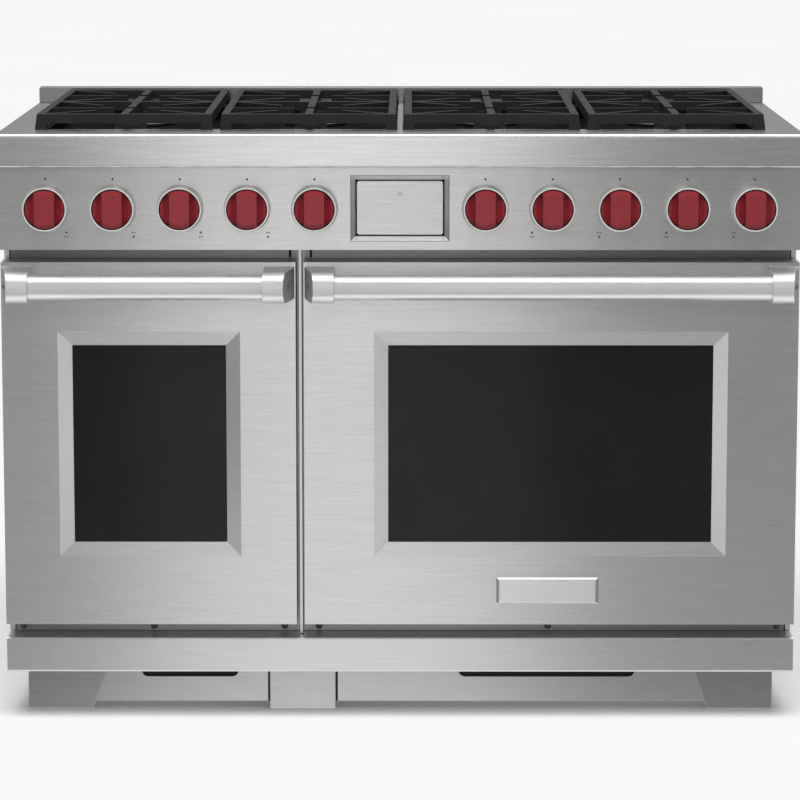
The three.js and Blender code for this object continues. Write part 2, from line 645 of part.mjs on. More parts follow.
// A box behind the panel, open in front, whose mouth flares out to the panel's face.
function makeDisplayBezel(group) {
  const back = DISPLAY_AXIS_Y + DISPLAY_SWING + DISPLAY_GAP;
  const mouth = displayBlock(DISPLAY_BEVEL, [0, DISPLAY_BEVEL + BEZEL_WALL]);
  const box = displayBlock(BEZEL_WALL, [DISPLAY_BEVEL, back + BEZEL_WALL]);
  const hollow = displayBlock(0, [-OVERRUN, back]);
  const flare = reshaped(displayBlock(0, [-OVERRUN, DISPLAY_BEVEL]), (point) => {
    const grow = point.y > 0 ? 0 : DISPLAY_BEVEL + OVERRUN;
    point.x += Math.sign(point.x) * grow;
    point.z += Math.sign(point.z) * grow;
  });
  const across = around(0, DISPLAY_OPENING.width + 4 * BEZEL_WALL);
  const bearing = rodAlongX(TRUNNION_DIAMETER / 2 + TRUNNION_CLEARANCE, across, 16, DISPLAY_AXIS_Y);
  const bezel = cut(joined(mouth, box), hollow, flare, bearing);
  addPart(group, "display_bezel", bezel, STEEL);
}

function makeDisplayModule(group) {
  const slab = block(
    around(0, DISPLAY_WIDTH),
    around(DISPLAY_AXIS_Y, DISPLAY_THICKNESS),
    around(0, DISPLAY_HEIGHT),
  );
  const pinLength = DISPLAY_OPENING.width + BEZEL_WALL;
  const pins = rodAlongX(TRUNNION_DIAMETER / 2, around(0, pinLength), 16, DISPLAY_AXIS_Y);
  addPart(group, "display_module", joined(slab, pins), STEEL);
}

// A round knob with a hollow scooped out on each side of its upright grip.
function knobGeometry() {
  const radius = KNOB_DIAMETER / 2;
  const front = -KNOB_STANDOFF - KNOB_REACH;
  const body = rodAlongY(radius, [front, -KNOB_STANDOFF], 32);
  const shaft = rodAlongY(SHAFT_DIAMETER / 2, [-KNOB_STANDOFF - OVERRUN, SHAFT_LENGTH], 12);
  const scoops = [-1, 1].map((sign) => {
    const across = [(sign * KNOB_GRIP_WIDTH) / 2, sign * (radius + OVERRUN)].sort((a, b) => a - b);
    const along = [front - OVERRUN, front + KNOB_SCOOP];
    return block(across, along, around(0, KNOB_DIAMETER + 2 * OVERRUN));
  });
  return joined(cut(body, ...scoops), shaft);
}

function makeKnobs(group) {
  const knob = knobGeometry();
  const places = knobPlaces();
  let burner = 0;
  places.forEach((x) => {
    const isOven = Math.abs(x) < INNER_KNOB_X + KNOB_PITCH / 2;
    const name = isOven ? "knob_oven_" + (x < 0 ? "left" : "right") : "knob_burner_" + ++burner;
    addPart(group, name, knob, RED_PLASTIC).position.x = x;
  });
}

function makeControls(group) {
  const controls = new THREE.Group();
  controls.position.set(0, PANEL_Y, PANEL_MIDDLE);
  makeControlPanel(controls);
  makeDisplayBezel(controls);
  makeDisplayModule(controls);
  makeKnobs(controls);
  group.add(controls);
}

// ---------------------------------------------------------------- cooktop

// The opening over one burner pan, on the left (-1) or on the right (1).
function panBlock(sign, grow, [z0, z1]) {
  const inner = CENTRE_STRIP / 2 - grow;
  const outer = SIDE_X - GRATE_SIDE_LEDGE - PAN_SEAT + grow;
  const across = sign < 0 ? [-outer, -inner] : [inner, outer];
  const along = [GRATE_Y + PAN_SEAT - grow, GRATE_Y + GRATE_DEPTH - PAN_SEAT + grow];
  return block(across, along, [z0, z1]);
}

function makeCooktopFrame(group) {
  const plate = block(
    [-SIDE_X, SIDE_X],
    [RAIL_Y + RAIL_TOP_DEPTH + FIT_GAP, BACK_Y - SHEET - FIT_GAP],
    [COOKTOP_BOTTOM, LEDGE_HEIGHT],
  );
  const through = [COOKTOP_BOTTOM - OVERRUN, LEDGE_HEIGHT + OVERRUN];
  const frame = cut(plate, panBlock(-1, 0, through), panBlock(1, 0, through));
  addPart(group, "cooktop_frame", frame, STEEL);
}

// A tray hung under the cooktop frame by its flange.
function makeBurnerPans(group) {
  const flangeTop = COOKTOP_BOTTOM - FIT_GAP;
  for (const [name, sign] of [["left", -1], ["right", 1]]) {
    const flange = panBlock(sign, PAN_FLANGE, [flangeTop - PAN_WALL, flangeTop]);
    const tray = panBlock(sign, PAN_WALL, [PAN_FLOOR - PAN_WALL, flangeTop]);
    const hollow = panBlock(sign, 0, [PAN_FLOOR, flangeTop + OVERRUN]);
    addPart(group, "burner_pan_" + name, cut(joined(flange, tray), hollow), BLACK_ENAMEL);
  }
}

function makeBurners(group) {
  const profile = [
    [0, 0],
    [BURNER_BASE_RADIUS, 0],
    [BURNER_BASE_RADIUS, BURNER_RIM_RISE],
    [BURNER_BASE_RADIUS - BURNER_SHELF.inset, BURNER_SHELF.rise],
    [BURNER_CAP_RADIUS + BURNER_SHOULDER.outset, BURNER_SHOULDER.rise],
    [BURNER_CAP_RADIUS, BURNER_HEAD_RISE],
    [BURNER_CAP_RADIUS, BURNER_HEIGHT - BURNER_CAP_EDGE.drop],
    [BURNER_CAP_RADIUS - BURNER_CAP_EDGE.inset, BURNER_HEIGHT],
    [0, BURNER_HEIGHT],
  ];
  const points = profile.map(([radius, up]) => new THREE.Vector2(radius, up));
  const burner = new THREE.LatheGeometry(points, 24).rotateX(Math.PI / 2);
  GRATE_COLUMNS.forEach((x, column) => {
    BURNER_ROWS.forEach((y, row) => {
      const name = "burner_" + (row ? "rear_" : "front_") + (column + 1);
      addPart(group, name, burner, ALUMINIUM).position.set(x, y, PAN_FLOOR + FIT_GAP);
    });
  });
}

// A flat bar from one point to another, seen from above, at the height of the grate's top.
function fingerBlock([fromX, fromY], [toX, toY], width) {
  const length = Math.hypot(toX - fromX, toY - fromY);
  const under = GRATE_HEIGHT - GRATE_BAR_HEIGHT;
  const bar = block([0, length], around(0, width), [under, GRATE_HEIGHT]);
  return bar.rotateZ(Math.atan2(toY - fromY, toX - fromX)).translate(fromX, fromY, 0);
}

// One grate over two burners: a rim on four feet, a bar across its middle, and eight fingers
// pointing at each burner. Its own frame is centred, with its feet at Z = 0.
function grateGeometry() {
  const halfX = GRATE_WIDTH / 2;
  const halfY = GRATE_DEPTH / 2;
  const under = GRATE_HEIGHT - GRATE_BAR_HEIGHT;
  const rim = reshaped(
    block([-halfX, halfX], [-halfY, halfY], [0, GRATE_HEIGHT]),
    (point) => {
      if (point.z < under) return;
      point.x -= Math.sign(point.x) * GRATE_DRAFT;
      point.y -= Math.sign(point.y) * GRATE_DRAFT;
    },
  );
  const innerX = halfX - GRATE_DRAFT - GRATE_BAR_WIDTH;
  const innerY = halfY - GRATE_DRAFT - GRATE_BAR_WIDTH;
  const throughout = [-OVERRUN, GRATE_HEIGHT + OVERRUN];
  const inside = block([-innerX, innerX], [-innerY, innerY], throughout);
  const footX = halfX - GRATE_FOOT;
  const footY = halfY - GRATE_FOOT;
  const below = [-OVERRUN, under];
  const underFront = block([-footX, footX], around(0, GRATE_DEPTH + 2 * OVERRUN), below);
  const underSides = block(around(0, GRATE_WIDTH + 2 * OVERRUN), [-footY, footY], below);
  const frame = cut(rim, inside, underFront, underSides);

  const reachX = innerX + OVERRUN;
  const reachY = innerY + OVERRUN;
  const bars = [fingerBlock([-reachX, 0], [reachX, 0], GRATE_BAR_WIDTH)];
  for (const burnerY of [-GRATE_DEPTH / 4, GRATE_DEPTH / 4]) {
    const outward = Math.sign(burnerY);
    const tip = outward * BAR_TIP_RADIUS;
    bars.push(fingerBlock([0, outward * reachY], [0, burnerY + tip], GRATE_BAR_WIDTH));
    bars.push(fingerBlock([0, 0], [0, burnerY - tip], GRATE_BAR_WIDTH));
    for (const side of [-1, 1]) {
      const sideTip = [side * FINGER_TIP_RADIUS, burnerY];
      bars.push(fingerBlock([side * reachX, burnerY], sideTip, FINGER_WIDTH));
      for (const startY of [0, outward * reachY]) {
        const away = new THREE.Vector2(side * reachX, startY - burnerY);
        away.setLength(DIAGONAL_TIP_RADIUS);
        bars.push(fingerBlock([side * reachX, startY], [away.x, burnerY + away.y], FINGER_WIDTH));
      }
    }
  }
  return joined(frame, ...bars);
}

function makeGrates(group) {
  const grate = grateGeometry();
  GRATE_COLUMNS.forEach((x, i) => {
    const mesh = addPart(group, "grate_" + (i + 1), grate, CAST_IRON);
    mesh.position.set(x, GRATE_Y + GRATE_DEPTH / 2, LEDGE_HEIGHT + FIT_GAP);
  });
}

// The low box across the back of the cooktop, open below.
function makeRiser(group) {
  const up = [LEDGE_HEIGHT + FIT_GAP, LEDGE_HEIGHT + RISER_HEIGHT];
  const full = block([-SIDE_X, SIDE_X], [RISER_Y, BACK_Y], up);
  const hollow = block(
    [-SIDE_X + SHEET, SIDE_X - SHEET],
    [RISER_Y + SHEET, BACK_Y - SHEET],
    [up[0] - OVERRUN, up[1] - SHEET],
  );
  addPart(group, "rear_riser", cut(full, hollow), STEEL);
}

// ---------------------------------------------------------------- under the body

// A front leg is a tapered plate with a post behind it; drawn for the right side.
function makeFrontLegs(group) {
  const outer = SIDE_X - LEG_INSET;
  const inner = outer - LEG_FOOT_WIDTH;
  for (const [name, sign] of [["left", -1], ["right", 1]]) {
    const corners = [
      [sign * inner, 0],
      [sign * outer, 0],
      [sign * outer, LEG_HEIGHT],
      [sign * (inner - LEG_SLANT), LEG_HEIGHT],
    ];
    const plate = alongY(outline(corners), [LEG_Y, LEG_Y + LEG_PLATE]);
    const across = [sign * outer, sign * (outer - POST_WIDTH)].sort((a, b) => a - b);
    const along = [LEG_Y + OVERRUN, LEG_Y + LEG_PLATE + POST_DEPTH];
    const post = block(across, along, [0, LEG_HEIGHT]);
    addPart(group, "leg_front_" + name, joined(plate, post), STEEL);
  }
}

// The middle leg reaches under the toe panel to a post behind it.
function makeCentreLeg(group) {
  const across = around(MULLION_X, CENTRE_LEG_WIDTH);
  const postFront = LEG_Y + LEG_PLATE + FIT_GAP + SHEET + FIT_GAP;
  const back = postFront + POST_DEPTH;
  const face = block(across, [LEG_Y, LEG_Y + LEG_PLATE], [0, LEG_HEIGHT]);
  const post = block(around(MULLION_X, POST_WIDTH), [postFront, back], [0, LEG_HEIGHT]);
  const footAlong = [LEG_Y + OVERRUN, back - OVERRUN];
  const foot = block(around(MULLION_X, POST_WIDTH), footAlong, [0, TOE_RISE - FIT_GAP]);
  addPart(group, "leg_centre", joined(face, post, foot), STEEL);
}

function slotPath(middle, width) {
  const radius = TOE_SLOT_HEIGHT / 2;
  const up = TOE_SLOT_RISE + radius;
  const reach = width / 2 - radius;
  const slot = new THREE.Path();
  slot.absarc(middle + reach, up, radius, Math.PI / 2, -Math.PI / 2, true);
  slot.absarc(middle - reach, up, radius, -Math.PI / 2, -Math.PI * 1.5, true);
  return slot;
}

function makeToePanel(group) {
  const reach = SIDE_X - LEG_INSET - POST_WIDTH - TOE_END_GAP;
  const legInner = SIDE_X - LEG_INSET - LEG_FOOT_WIDTH - LEG_SLANT;
  const leftMiddle = (-legInner + MULLION_X - CENTRE_LEG_WIDTH / 2) / 2;
  const panel = outline([
    [-reach, TOE_RISE],
    [reach, TOE_RISE],
    [reach, LEG_HEIGHT],
    [-reach, LEG_HEIGHT],
  ]);
  panel.holes.push(slotPath(leftMiddle, TOE_SLOT_WIDTH.left));
  panel.holes.push(slotPath(RIGHT_DOOR_X, TOE_SLOT_WIDTH.right));
  const front = LEG_Y + LEG_PLATE + FIT_GAP;
  addPart(group, "toe_panel", alongY(panel, [front, front + SHEET]), STEEL);
}

function makeRearLegs(group) {
  const profile = [
    [0, 0],
    [REAR_FOOT_RADIUS, 0],
    [REAR_FOOT_RADIUS, REAR_FOOT_RISE],
    [REAR_LEG_RADIUS, REAR_FOOT_SHOULDER],
    [REAR_LEG_RADIUS, LEG_HEIGHT],
    [0, LEG_HEIGHT],
  ];
  const points = profile.map(([radius, up]) => new THREE.Vector2(radius, up));
  const leg = new THREE.LatheGeometry(points, 20).rotateX(Math.PI / 2);
  for (const [name, sign] of [["left", -1], ["right", 1]]) {
    const mesh = addPart(group, "leg_rear_" + name, leg, DARK_STEEL);
    mesh.position.set(sign * (SIDE_X - REAR_LEG_INSET), BACK_Y - REAR_LEG_INSET, 0);
  }
}

// The gas inlet drops from the base and turns to the back, where it ends in a hexagon.
function makeGasInlet(group) {
  const axisUp = LEG_HEIGHT - PIPE_DROP;
  const drop = new THREE.CylinderGeometry(PIPE_RADIUS, PIPE_RADIUS, PIPE_DROP, 16);
  drop.rotateX(Math.PI / 2).translate(0, 0, axisUp + PIPE_DROP / 2);
  const run = rodAlongY(PIPE_RADIUS - PIPE_THREAD, [0, PIPE_RUN], 16, 0, axisUp);
  const elbow = new THREE.SphereGeometry(PIPE_RADIUS + ELBOW_SWELL, 16, 10).translate(0, 0, axisUp);
  const hexBack = PIPE_RUN - HEX_END;
  const hexagon = rodAlongY(HEX_RADIUS, [hexBack - HEX_LENGTH, hexBack], 6, 0, axisUp);
  const bored = [PIPE_RUN - PIPE_BORE_DEPTH, PIPE_RUN + OVERRUN];
  const bore = rodAlongY(PIPE_RADIUS - PIPE_WALL, bored, 12, 0, axisUp);
  const inlet = cut(joined(drop, run, elbow, hexagon), bore);
  const y = BACK_Y - PIPE_RUN - SHEET;
  addPart(group, "gas_inlet", inlet, BRASS).position.set(SIDE_X - PIPE_INSET, y, 0);
}

// ---------------------------------------------------------------- whole range

const group = new THREE.Group();
makeFrontRail(group);
makeControls(group);
makeFrontFrame(group);
makeSidePanels(group);
makeBackAndBase(group);
makeOvenLiners(group);
makeRacks(group);
makeDoors(group);
makeCooktopFrame(group);
makeBurnerPans(group);
makeBurners(group);
makeGrates(group);
makeRiser(group);
makeKickplate(group);
makeFrontLegs(group);
makeCentreLeg(group);
makeToePanel(group);
makeRearLegs(group);
makeGasInlet(group);

export default group;
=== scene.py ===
"""Looks of a freestanding gas range with two ovens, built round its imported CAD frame.

Metres, in the row frame: X to the right, Y to the back, Z up, the origin on the floor
under the middle of the range. Most pieces take their places from the CAD nodes' boxes.
"""
import json
import math

import bmesh
import bpy
from mathutils import Matrix, Vector


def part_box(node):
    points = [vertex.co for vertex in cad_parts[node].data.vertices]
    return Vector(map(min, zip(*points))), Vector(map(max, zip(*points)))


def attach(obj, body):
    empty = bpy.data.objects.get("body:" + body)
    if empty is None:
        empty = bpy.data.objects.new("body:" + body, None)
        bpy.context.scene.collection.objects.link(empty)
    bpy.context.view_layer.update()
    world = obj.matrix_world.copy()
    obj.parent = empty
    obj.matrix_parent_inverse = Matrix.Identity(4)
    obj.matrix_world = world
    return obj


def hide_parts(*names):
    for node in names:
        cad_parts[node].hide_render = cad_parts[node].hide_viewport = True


MM = 0.001
DOORS = ("left", "right")
SMOOTH_BELOW = math.radians(28)
FLAT_BELOW = math.radians(0.4)  # faces that meet at less than this are one face
WELD = 1e-6  # points nearer than this are one point

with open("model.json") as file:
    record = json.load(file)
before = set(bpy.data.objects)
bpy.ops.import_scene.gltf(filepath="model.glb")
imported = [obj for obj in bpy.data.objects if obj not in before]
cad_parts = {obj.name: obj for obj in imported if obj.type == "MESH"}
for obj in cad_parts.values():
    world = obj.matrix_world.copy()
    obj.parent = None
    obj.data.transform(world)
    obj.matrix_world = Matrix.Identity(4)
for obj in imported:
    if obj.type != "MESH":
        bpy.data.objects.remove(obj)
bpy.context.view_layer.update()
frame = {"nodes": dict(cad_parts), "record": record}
nodes = frame["nodes"]
body_members = frame["record"]["behaviour"]["bodies"]
body_of = {node: body for body, members in body_members.items() for node in members}


# ---------------------------------------------------------------- materials

class Finish:
    """A Principled material, and the texture nodes that give it its detail."""

    def __init__(self, name, **sockets):
        self.material = bpy.data.materials.new(name)
        self.material.use_nodes = True
        self.tree = self.material.node_tree
        self.shader = self.tree.nodes["Principled BSDF"]
        for socket, value in sockets.items():
            self.shader.inputs[socket.replace("_", " ")].default_value = value

    def node(self, kind, **settings):
        made = self.tree.nodes.new("ShaderNode" + kind)
        for key, value in settings.items():
            setattr(made, key, value)
        return made

    def link(self, source, target):
        self.tree.links.new(source, target)

    def fill(self, node, **values):
        for socket, value in values.items():
            node.inputs[socket.replace("_", " ")].default_value = value
        return node

    def texture(self, kind, stretch, **values):
        """A texture in the object's own metres: so many features a metre, on every axis or on each."""
        each_way = stretch if isinstance(stretch, list) else (stretch, stretch, stretch)
        mapping = self.fill(self.node("Mapping"), Scale=each_way)
        self.link(self.node("TexCoord").outputs["Object"], mapping.inputs["Vector"])
        made = self.fill(self.node("Tex" + kind), Scale=1.0, **values)
        self.link(mapping.outputs["Vector"], made.inputs["Vector"])
        return made

    def noise(self, stretch, detail=3.0):
        return self.texture("Noise", stretch, Detail=detail).outputs["Fac"]

    def spread(self, factor, low, high, target):
        """The shader's socket runs from low to high as the factor goes from 0.3 to 0.7."""
        mapped = self.fill(self.node("MapRange"), From_Min=0.3, From_Max=0.7, To_Min=low, To_Max=high)
        self.link(factor, mapped.inputs["Value"])
        self.link(mapped.outputs["Result"], self.shader.inputs[target])

    def colours(self, factor, *stops):
        """The base colour follows the factor through (position, colour) stops."""
        ramp = self.node("ValToRGB")
        elements = ramp.color_ramp.elements
        while len(elements) < len(stops):
            elements.new(0.5)
        for element, (position, colour) in zip(elements, stops):
            element.position = position
            element.color = (*colour, 1)
        self.link(factor, ramp.inputs["Fac"])
        self.link(ramp.outputs["Color"], self.shader.inputs["Base Color"])

    def bump(self, factor, depth, strength=1.0):
        made = self.fill(self.node("Bump"), Strength=strength, Distance=depth)
        self.link(factor, made.inputs["Height"])
        self.link(made.outputs["Normal"], self.shader.inputs["Normal"])


def shade(colour, factor):
    return tuple(channel * factor for channel in colour)


STEEL_COLOUR = (0.665, 0.66, 0.65)
# Lighter than the sheet steel, for the handle bars and brackets: painted highlight that brightens them.
BAR_COLOUR_PAINTED_LIGHT = (0.76, 0.755, 0.745)
BRUSH_STREAKS = (14.0, 420.0)  # brush marks a metre along the grain, and across it
FINE_STREAKS = (42.0, 2600.0)
SCRATCH_DEPTH = 0.00002


def streaks(along, pitches):
    """So many features a metre along one axis, and so many along the other two."""
    return [pitches[0] if axis == along else pitches[1] for axis in "XYZ"]


def brushed(
    name, along, roughness, anisotropy=0.95, colour=STEEL_COLOUR, contrast=0.06, metallic=1.0,
    depth=SCRATCH_DEPTH,
):
    """Brushed stainless steel with its grain along one axis and its gloss spread across the grain."""
    finish = Finish(
        name,
        Base_Color=(*colour, 1),
        Metallic=metallic,
        Roughness=roughness,
        Anisotropic=anisotropy,
    )
    marks = finish.noise(streaks(along, BRUSH_STREAKS), detail=4.0)
    finish.colours(marks, (0.25, shade(colour, 1 - contrast)), (0.75, shade(colour, 1 + contrast)))
    fine = streaks(along, FINE_STREAKS)
    finish.spread(finish.noise(fine), roughness * 0.9, roughness * 1.12, "Roughness")
    finish.bump(finish.noise(fine), depth, 0.25)
    direction = finish.node("Tangent", direction_type="RADIAL", axis=along)
    finish.link(direction.outputs["Tangent"], finish.shader.inputs["Tangent"])
    return finish.material


def enamel(name, colour, fleck, roughness, flecks, gloss=0.4):
    """Glossy porcelain enamel with fine pale flecks and a slight orange-peel surface."""
    finish = Finish(
        name, Roughness=roughness, Specular_IOR_Level=gloss, Coat_Weight=gloss, Coat_Roughness=0.08,
    )
    cells = finish.texture("Voronoi", flecks).outputs["Distance"]
    finish.colours(cells, (0.0, fleck), (0.16, fleck), (0.24, colour), (1.0, colour))
    finish.bump(finish.noise(260, detail=1.0), 0.00012, 0.35)
    return finish.material


def cast_iron(name):
    """Black cast iron with a fine sandy grain."""
    finish = Finish(name, Roughness=0.55, Specular_IOR_Level=0.15)
    grain = finish.noise(900, detail=6.0)
    finish.colours(grain, (0.3, (0.014, 0.014, 0.014)), (0.7, (0.027, 0.027, 0.026)))
    finish.spread(finish.noise(60), 0.45, 0.62, "Roughness")
    finish.bump(grain, 0.00018, 0.6)
    return finish.material


def moulded_red(name):
    """Semi-gloss moulded plastic."""
    finish = Finish(name, Roughness=0.32, Specular_IOR_Level=0.35, Coat_Weight=0.15, Coat_Roughness=0.12)
    finish.colours(finish.noise(90), (0.3, (0.212, 0.015, 0.020)), (0.7, (0.245, 0.019, 0.025)))
    finish.spread(finish.noise(700), 0.28, 0.38, "Roughness")
    finish.bump(finish.noise(1500), 0.00003, 0.4)
    return finish.material


def metal(name, colour, roughness, grain, contrast=0.08, depth=0.00005, metallic=1.0):
    """A plain metal whose tone, gloss and surface vary finely."""
    finish = Finish(name, Metallic=metallic, Roughness=roughness)
    tone = finish.noise(grain, detail=5.0)
    finish.colours(tone, (0.3, shade(colour, 1 - contrast)), (0.7, shade(colour, 1 + contrast)))
    finish.spread(tone, roughness * 0.85, roughness * 1.15, "Roughness")
    finish.bump(tone, depth, 0.4)
    return finish.material


def galvanised(name):
    """Zinc-coated sheet with its spangle."""
    finish = Finish(name, Metallic=0.9, Roughness=0.42)
    spangle = finish.texture("Voronoi", 110).outputs["Color"]
    finish.colours(spangle, (0.2, (0.50, 0.51, 0.52)), (0.8, (0.60, 0.61, 0.62)))
    finish.spread(spangle, 0.34, 0.5, "Roughness")
    return finish.material


def matt(name, colour, roughness, grain=300.0, depth=0.00008):
    """Dull rubber, woven gasket, printed ink, painted plastic or flat black painted shade."""
    finish = Finish(name, Roughness=roughness)
    tone = finish.noise(grain)
    finish.colours(tone, (0.3, shade(colour, 0.85)), (0.7, shade(colour, 1.15)))
    finish.bump(tone, depth, 0.5)
    return finish.material


def smoked_glass(name, colour, roughness):
    """Dark glass, opaque enough to hide the oven, with faint handling marks in its gloss."""
    finish = Finish(name, Roughness=roughness, Specular_IOR_Level=0.16)
    tone = finish.noise(7)
    finish.colours(tone, (0.3, shade(colour, 0.92)), (0.7, shade(colour, 1.08)))
    finish.spread(finish.noise(30), roughness * 0.8, roughness * 1.3, "Roughness")
    return finish.material


def clear_glass(name):
    """The clear inner glass of an oven door."""
    finish = Finish(name, Roughness=0.02, Transmission_Weight=1.0, IOR=1.45)
    finish.colours(finish.noise(9), (0.3, (0.80, 0.84, 0.83)), (0.7, (0.84, 0.87, 0.86)))
    return finish.material


steel = brushed("steel_front", "X", 0.30)
# A lighter, glossier copy of the front steel for the rail: its extra lightness is painted light on the rail's
# face.
steel_rail_painted_light = brushed("steel_rail_painted_light", "X", 0.24, anisotropy=0.8, colour=(0.72, 0.715, 0.705))
steel_side = brushed("steel_side", "Y", 0.34, anisotropy=0.6)
# A darker copy of the front steel for the cooktop frame, the riser and the rail's top: painted shade that
# tones down what upward faces reflect.
steel_top_painted_shade = brushed(
    "steel_top_painted_shade", "X", 0.24, anisotropy=0.6, colour=shade(STEEL_COLOUR, 0.72), contrast=0.015,
    depth=SCRATCH_DEPTH / 5,
)
# A darker copy of the front steel for the oven frame behind the doors: painted shade for the frame's recess.
steel_frame_painted_shade = brushed("steel_oven_frame_painted_shade", "X", 0.34, colour=shade(STEEL_COLOUR, 0.60))
# Darker copies of the front steel for the legs and the toe panel: painted shade for the space under the body.
steel_leg_painted_shade = brushed("steel_leg_painted_shade", "X", 0.30, colour=shade(STEEL_COLOUR, 0.60))
steel_toe_painted_shade = brushed("steel_toe_painted_shade", "X", 0.30, colour=shade(STEEL_COLOUR, 0.77))
# Handle bars and brackets: the lighter colour and the part-diffuse finish of both materials below are painted
# highlight.
steel_bar = brushed(
    "steel_bar", "X", 0.38, anisotropy=0.0, colour=BAR_COLOUR_PAINTED_LIGHT, contrast=0.03, metallic=0.88,
)
steel_cast = brushed(
    "steel_bracket", "X", 0.40, anisotropy=0.0, colour=BAR_COLOUR_PAINTED_LIGHT, contrast=0.03, metallic=0.82,
)
steel_blasted = metal("bracket_end", (0.58, 0.575, 0.57), 0.62, 900, contrast=0.15, depth=0.00015)
steel_plate = brushed("steel_nameplate", "X", 0.34, anisotropy=0.7, colour=(0.86, 0.855, 0.845))
steel_border = metal("nameplate_border", (0.66, 0.655, 0.645), 0.24, 400, contrast=0.03, depth=0.00001)
chrome_satin = metal("chrome_skirt", (0.90, 0.895, 0.89), 0.36, 200, contrast=0.03, depth=0.00001)
# The lip's finish is only part metal, so its pale colour shows under any light: painted highlight standing in
# for the chrome's bright reflection.
chrome_lip_painted_highlight = metal("chrome_lip_painted_highlight", (0.84, 0.835, 0.83), 0.35, 200, contrast=0.02, depth=0.00001, metallic=0.4)
chrome = metal("chrome_plate", (0.80, 0.80, 0.80), 0.10, 200, contrast=0.03, depth=0.00001)
zinc = galvanised("galvanised_sheet")
black_enamel = enamel("black_enamel", (0.004, 0.004, 0.0045), (0.012, 0.012, 0.012), 0.55, 900, gloss=0.02)
oven_enamel = enamel("blue_oven_enamel", (0.010, 0.018, 0.042), (0.16, 0.19, 0.24), 0.25, 420)
iron = cast_iron("cast_iron_grate")
cap_black = enamel("burner_cap_enamel", (0.012, 0.012, 0.012), (0.03, 0.03, 0.03), 0.4, 1500, gloss=0.35)
red = moulded_red("red_knob_plastic")
dark_glass = smoked_glass("door_glass", (0.012, 0.012, 0.013), 0.10)
screen_glass = smoked_glass("touch_screen_glass", (0.008, 0.009, 0.011), 0.06)
inner_glass = clear_glass("inner_door_glass")
# Burner heads and bowls are far darker than bare metal, the bowl darker still: painted shade for metal that
# sits under the grates.
head_metal_painted_shade = metal("burner_head_metal", (0.20, 0.20, 0.196), 0.5, 900, depth=0.0001)
bowl_metal_painted_shade = metal("burner_bowl_metal", (0.15, 0.15, 0.148), 0.5, 900, depth=0.0001)
brass = metal("machined_brass", (0.60, 0.43, 0.18), 0.25, 700)
# Black matt: real rubber on the bumpers and pivots, and painted shade where it fills slots, joints and the
# ring round each knob cap.
black_rubber_and_painted_shade = matt("black_gap", (0.010, 0.010, 0.010), 0.7)
gasket_weave = matt("woven_gasket", (0.10, 0.10, 0.095), 0.9, grain=900.0, depth=0.0004)
ceramic_white = matt("ignitor_ceramic", (0.62, 0.60, 0.56), 0.35, grain=500.0)
element_grey = metal("heating_rod", (0.16, 0.155, 0.15), 0.5, 600)
lamp_glass = smoked_glass("oven_lamp_glass", (0.55, 0.53, 0.48), 0.15)
ink = matt("printed_mark", (0.055, 0.055, 0.055), 0.6)


# ---------------------------------------------------------------- making pieces

def placed(name, mesh, body, material, at=(0, 0, 0)):
    """One new piece, riding on a CAD body."""
    obj = bpy.data.objects.new(name, mesh)
    bpy.context.scene.collection.objects.link(obj)
    obj.location = at
    if not mesh.materials:
        mesh.materials.append(material)
    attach(obj, body)
    return obj


def mesh_of(bm, name, smooth=SMOOTH_BELOW):
    """A mesh of what was drawn, smooth across edges that turn by less than an angle."""
    bmesh.ops.recalc_face_normals(bm, faces=bm.faces)
    mesh = bpy.data.meshes.new(name)
    bm.to_mesh(mesh)
    bm.free()
    mesh.shade_smooth()
    mesh.set_sharp_from_angle(angle=smooth)
    return mesh


def bevelled(obj, width, segments=3):
    """Rounds every real edge of a piece."""
    bevel = obj.modifiers.new("edges", "BEVEL")
    bevel.width = width
    bevel.segments = segments
    bevel.limit_method = "ANGLE"
    bevel.angle_limit = SMOOTH_BELOW
    bevel.harden_normals = True
    return obj


def refined(node, material, edge=None):
    """A copy of a CAD node's shape: flat sheets with rounded edges or, with no edge given, smooth bends."""
    bm = bmesh.new()
    bm.from_mesh(nodes[node].data)
    bmesh.ops.remove_doubles(bm, verts=bm.verts, dist=WELD)
    bmesh.ops.dissolve_limit(bm, angle_limit=FLAT_BELOW, verts=bm.verts, edges=bm.edges)
    mesh = mesh_of(bm, node)
    obj = placed(node + "_finished", mesh, body_of[node], material)
    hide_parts(node)
    if edge:
        mesh.shade_flat()
        bevelled(obj, edge, 2).modifiers["edges"].harden_normals = False
    else:
        obj.modifiers.new("flats", "WEIGHTED_NORMAL").keep_sharp = True
    return obj


def middle(node):
    low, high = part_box(node)
    return (low + high) / 2


def turned(bm, profile, sides, axis="Y", at=(0, 0, 0)):
    """Adds a closed turned shape: (radius, distance along the axis) points, from axis to axis."""
    to_world = {
        "X": Matrix(((0, 0, 1), (1, 0, 0), (0, 1, 0))),
        "Y": Matrix(((1, 0, 0), (0, 0, 1), (0, 1, 0))),
        "Z": Matrix(((1, 0, 0), (0, 1, 0), (0, 0, 1))),
    }[axis]
    rings = []
    for radius, along in profile:
        count = 1 if radius < WELD / 10 else sides
        ring = []
        for i in range(count):
            angle = 2 * math.pi * i / sides
            local = Vector((radius * math.cos(angle), radius * math.sin(angle), along))
            ring.append(bm.verts.new(to_world @ local + Vector(at)))
        rings.append(ring)
    for first, second in zip(rings, rings[1:]):
        for i in range(sides):
            quad = [
                first[i % len(first)],
                first[(i + 1) % len(first)],
                second[(i + 1) % len(second)],
                second[i % len(second)],
            ]
            corners = list(dict.fromkeys(quad))
            if len(corners) > 2:
                bm.faces.new(corners)
    return rings


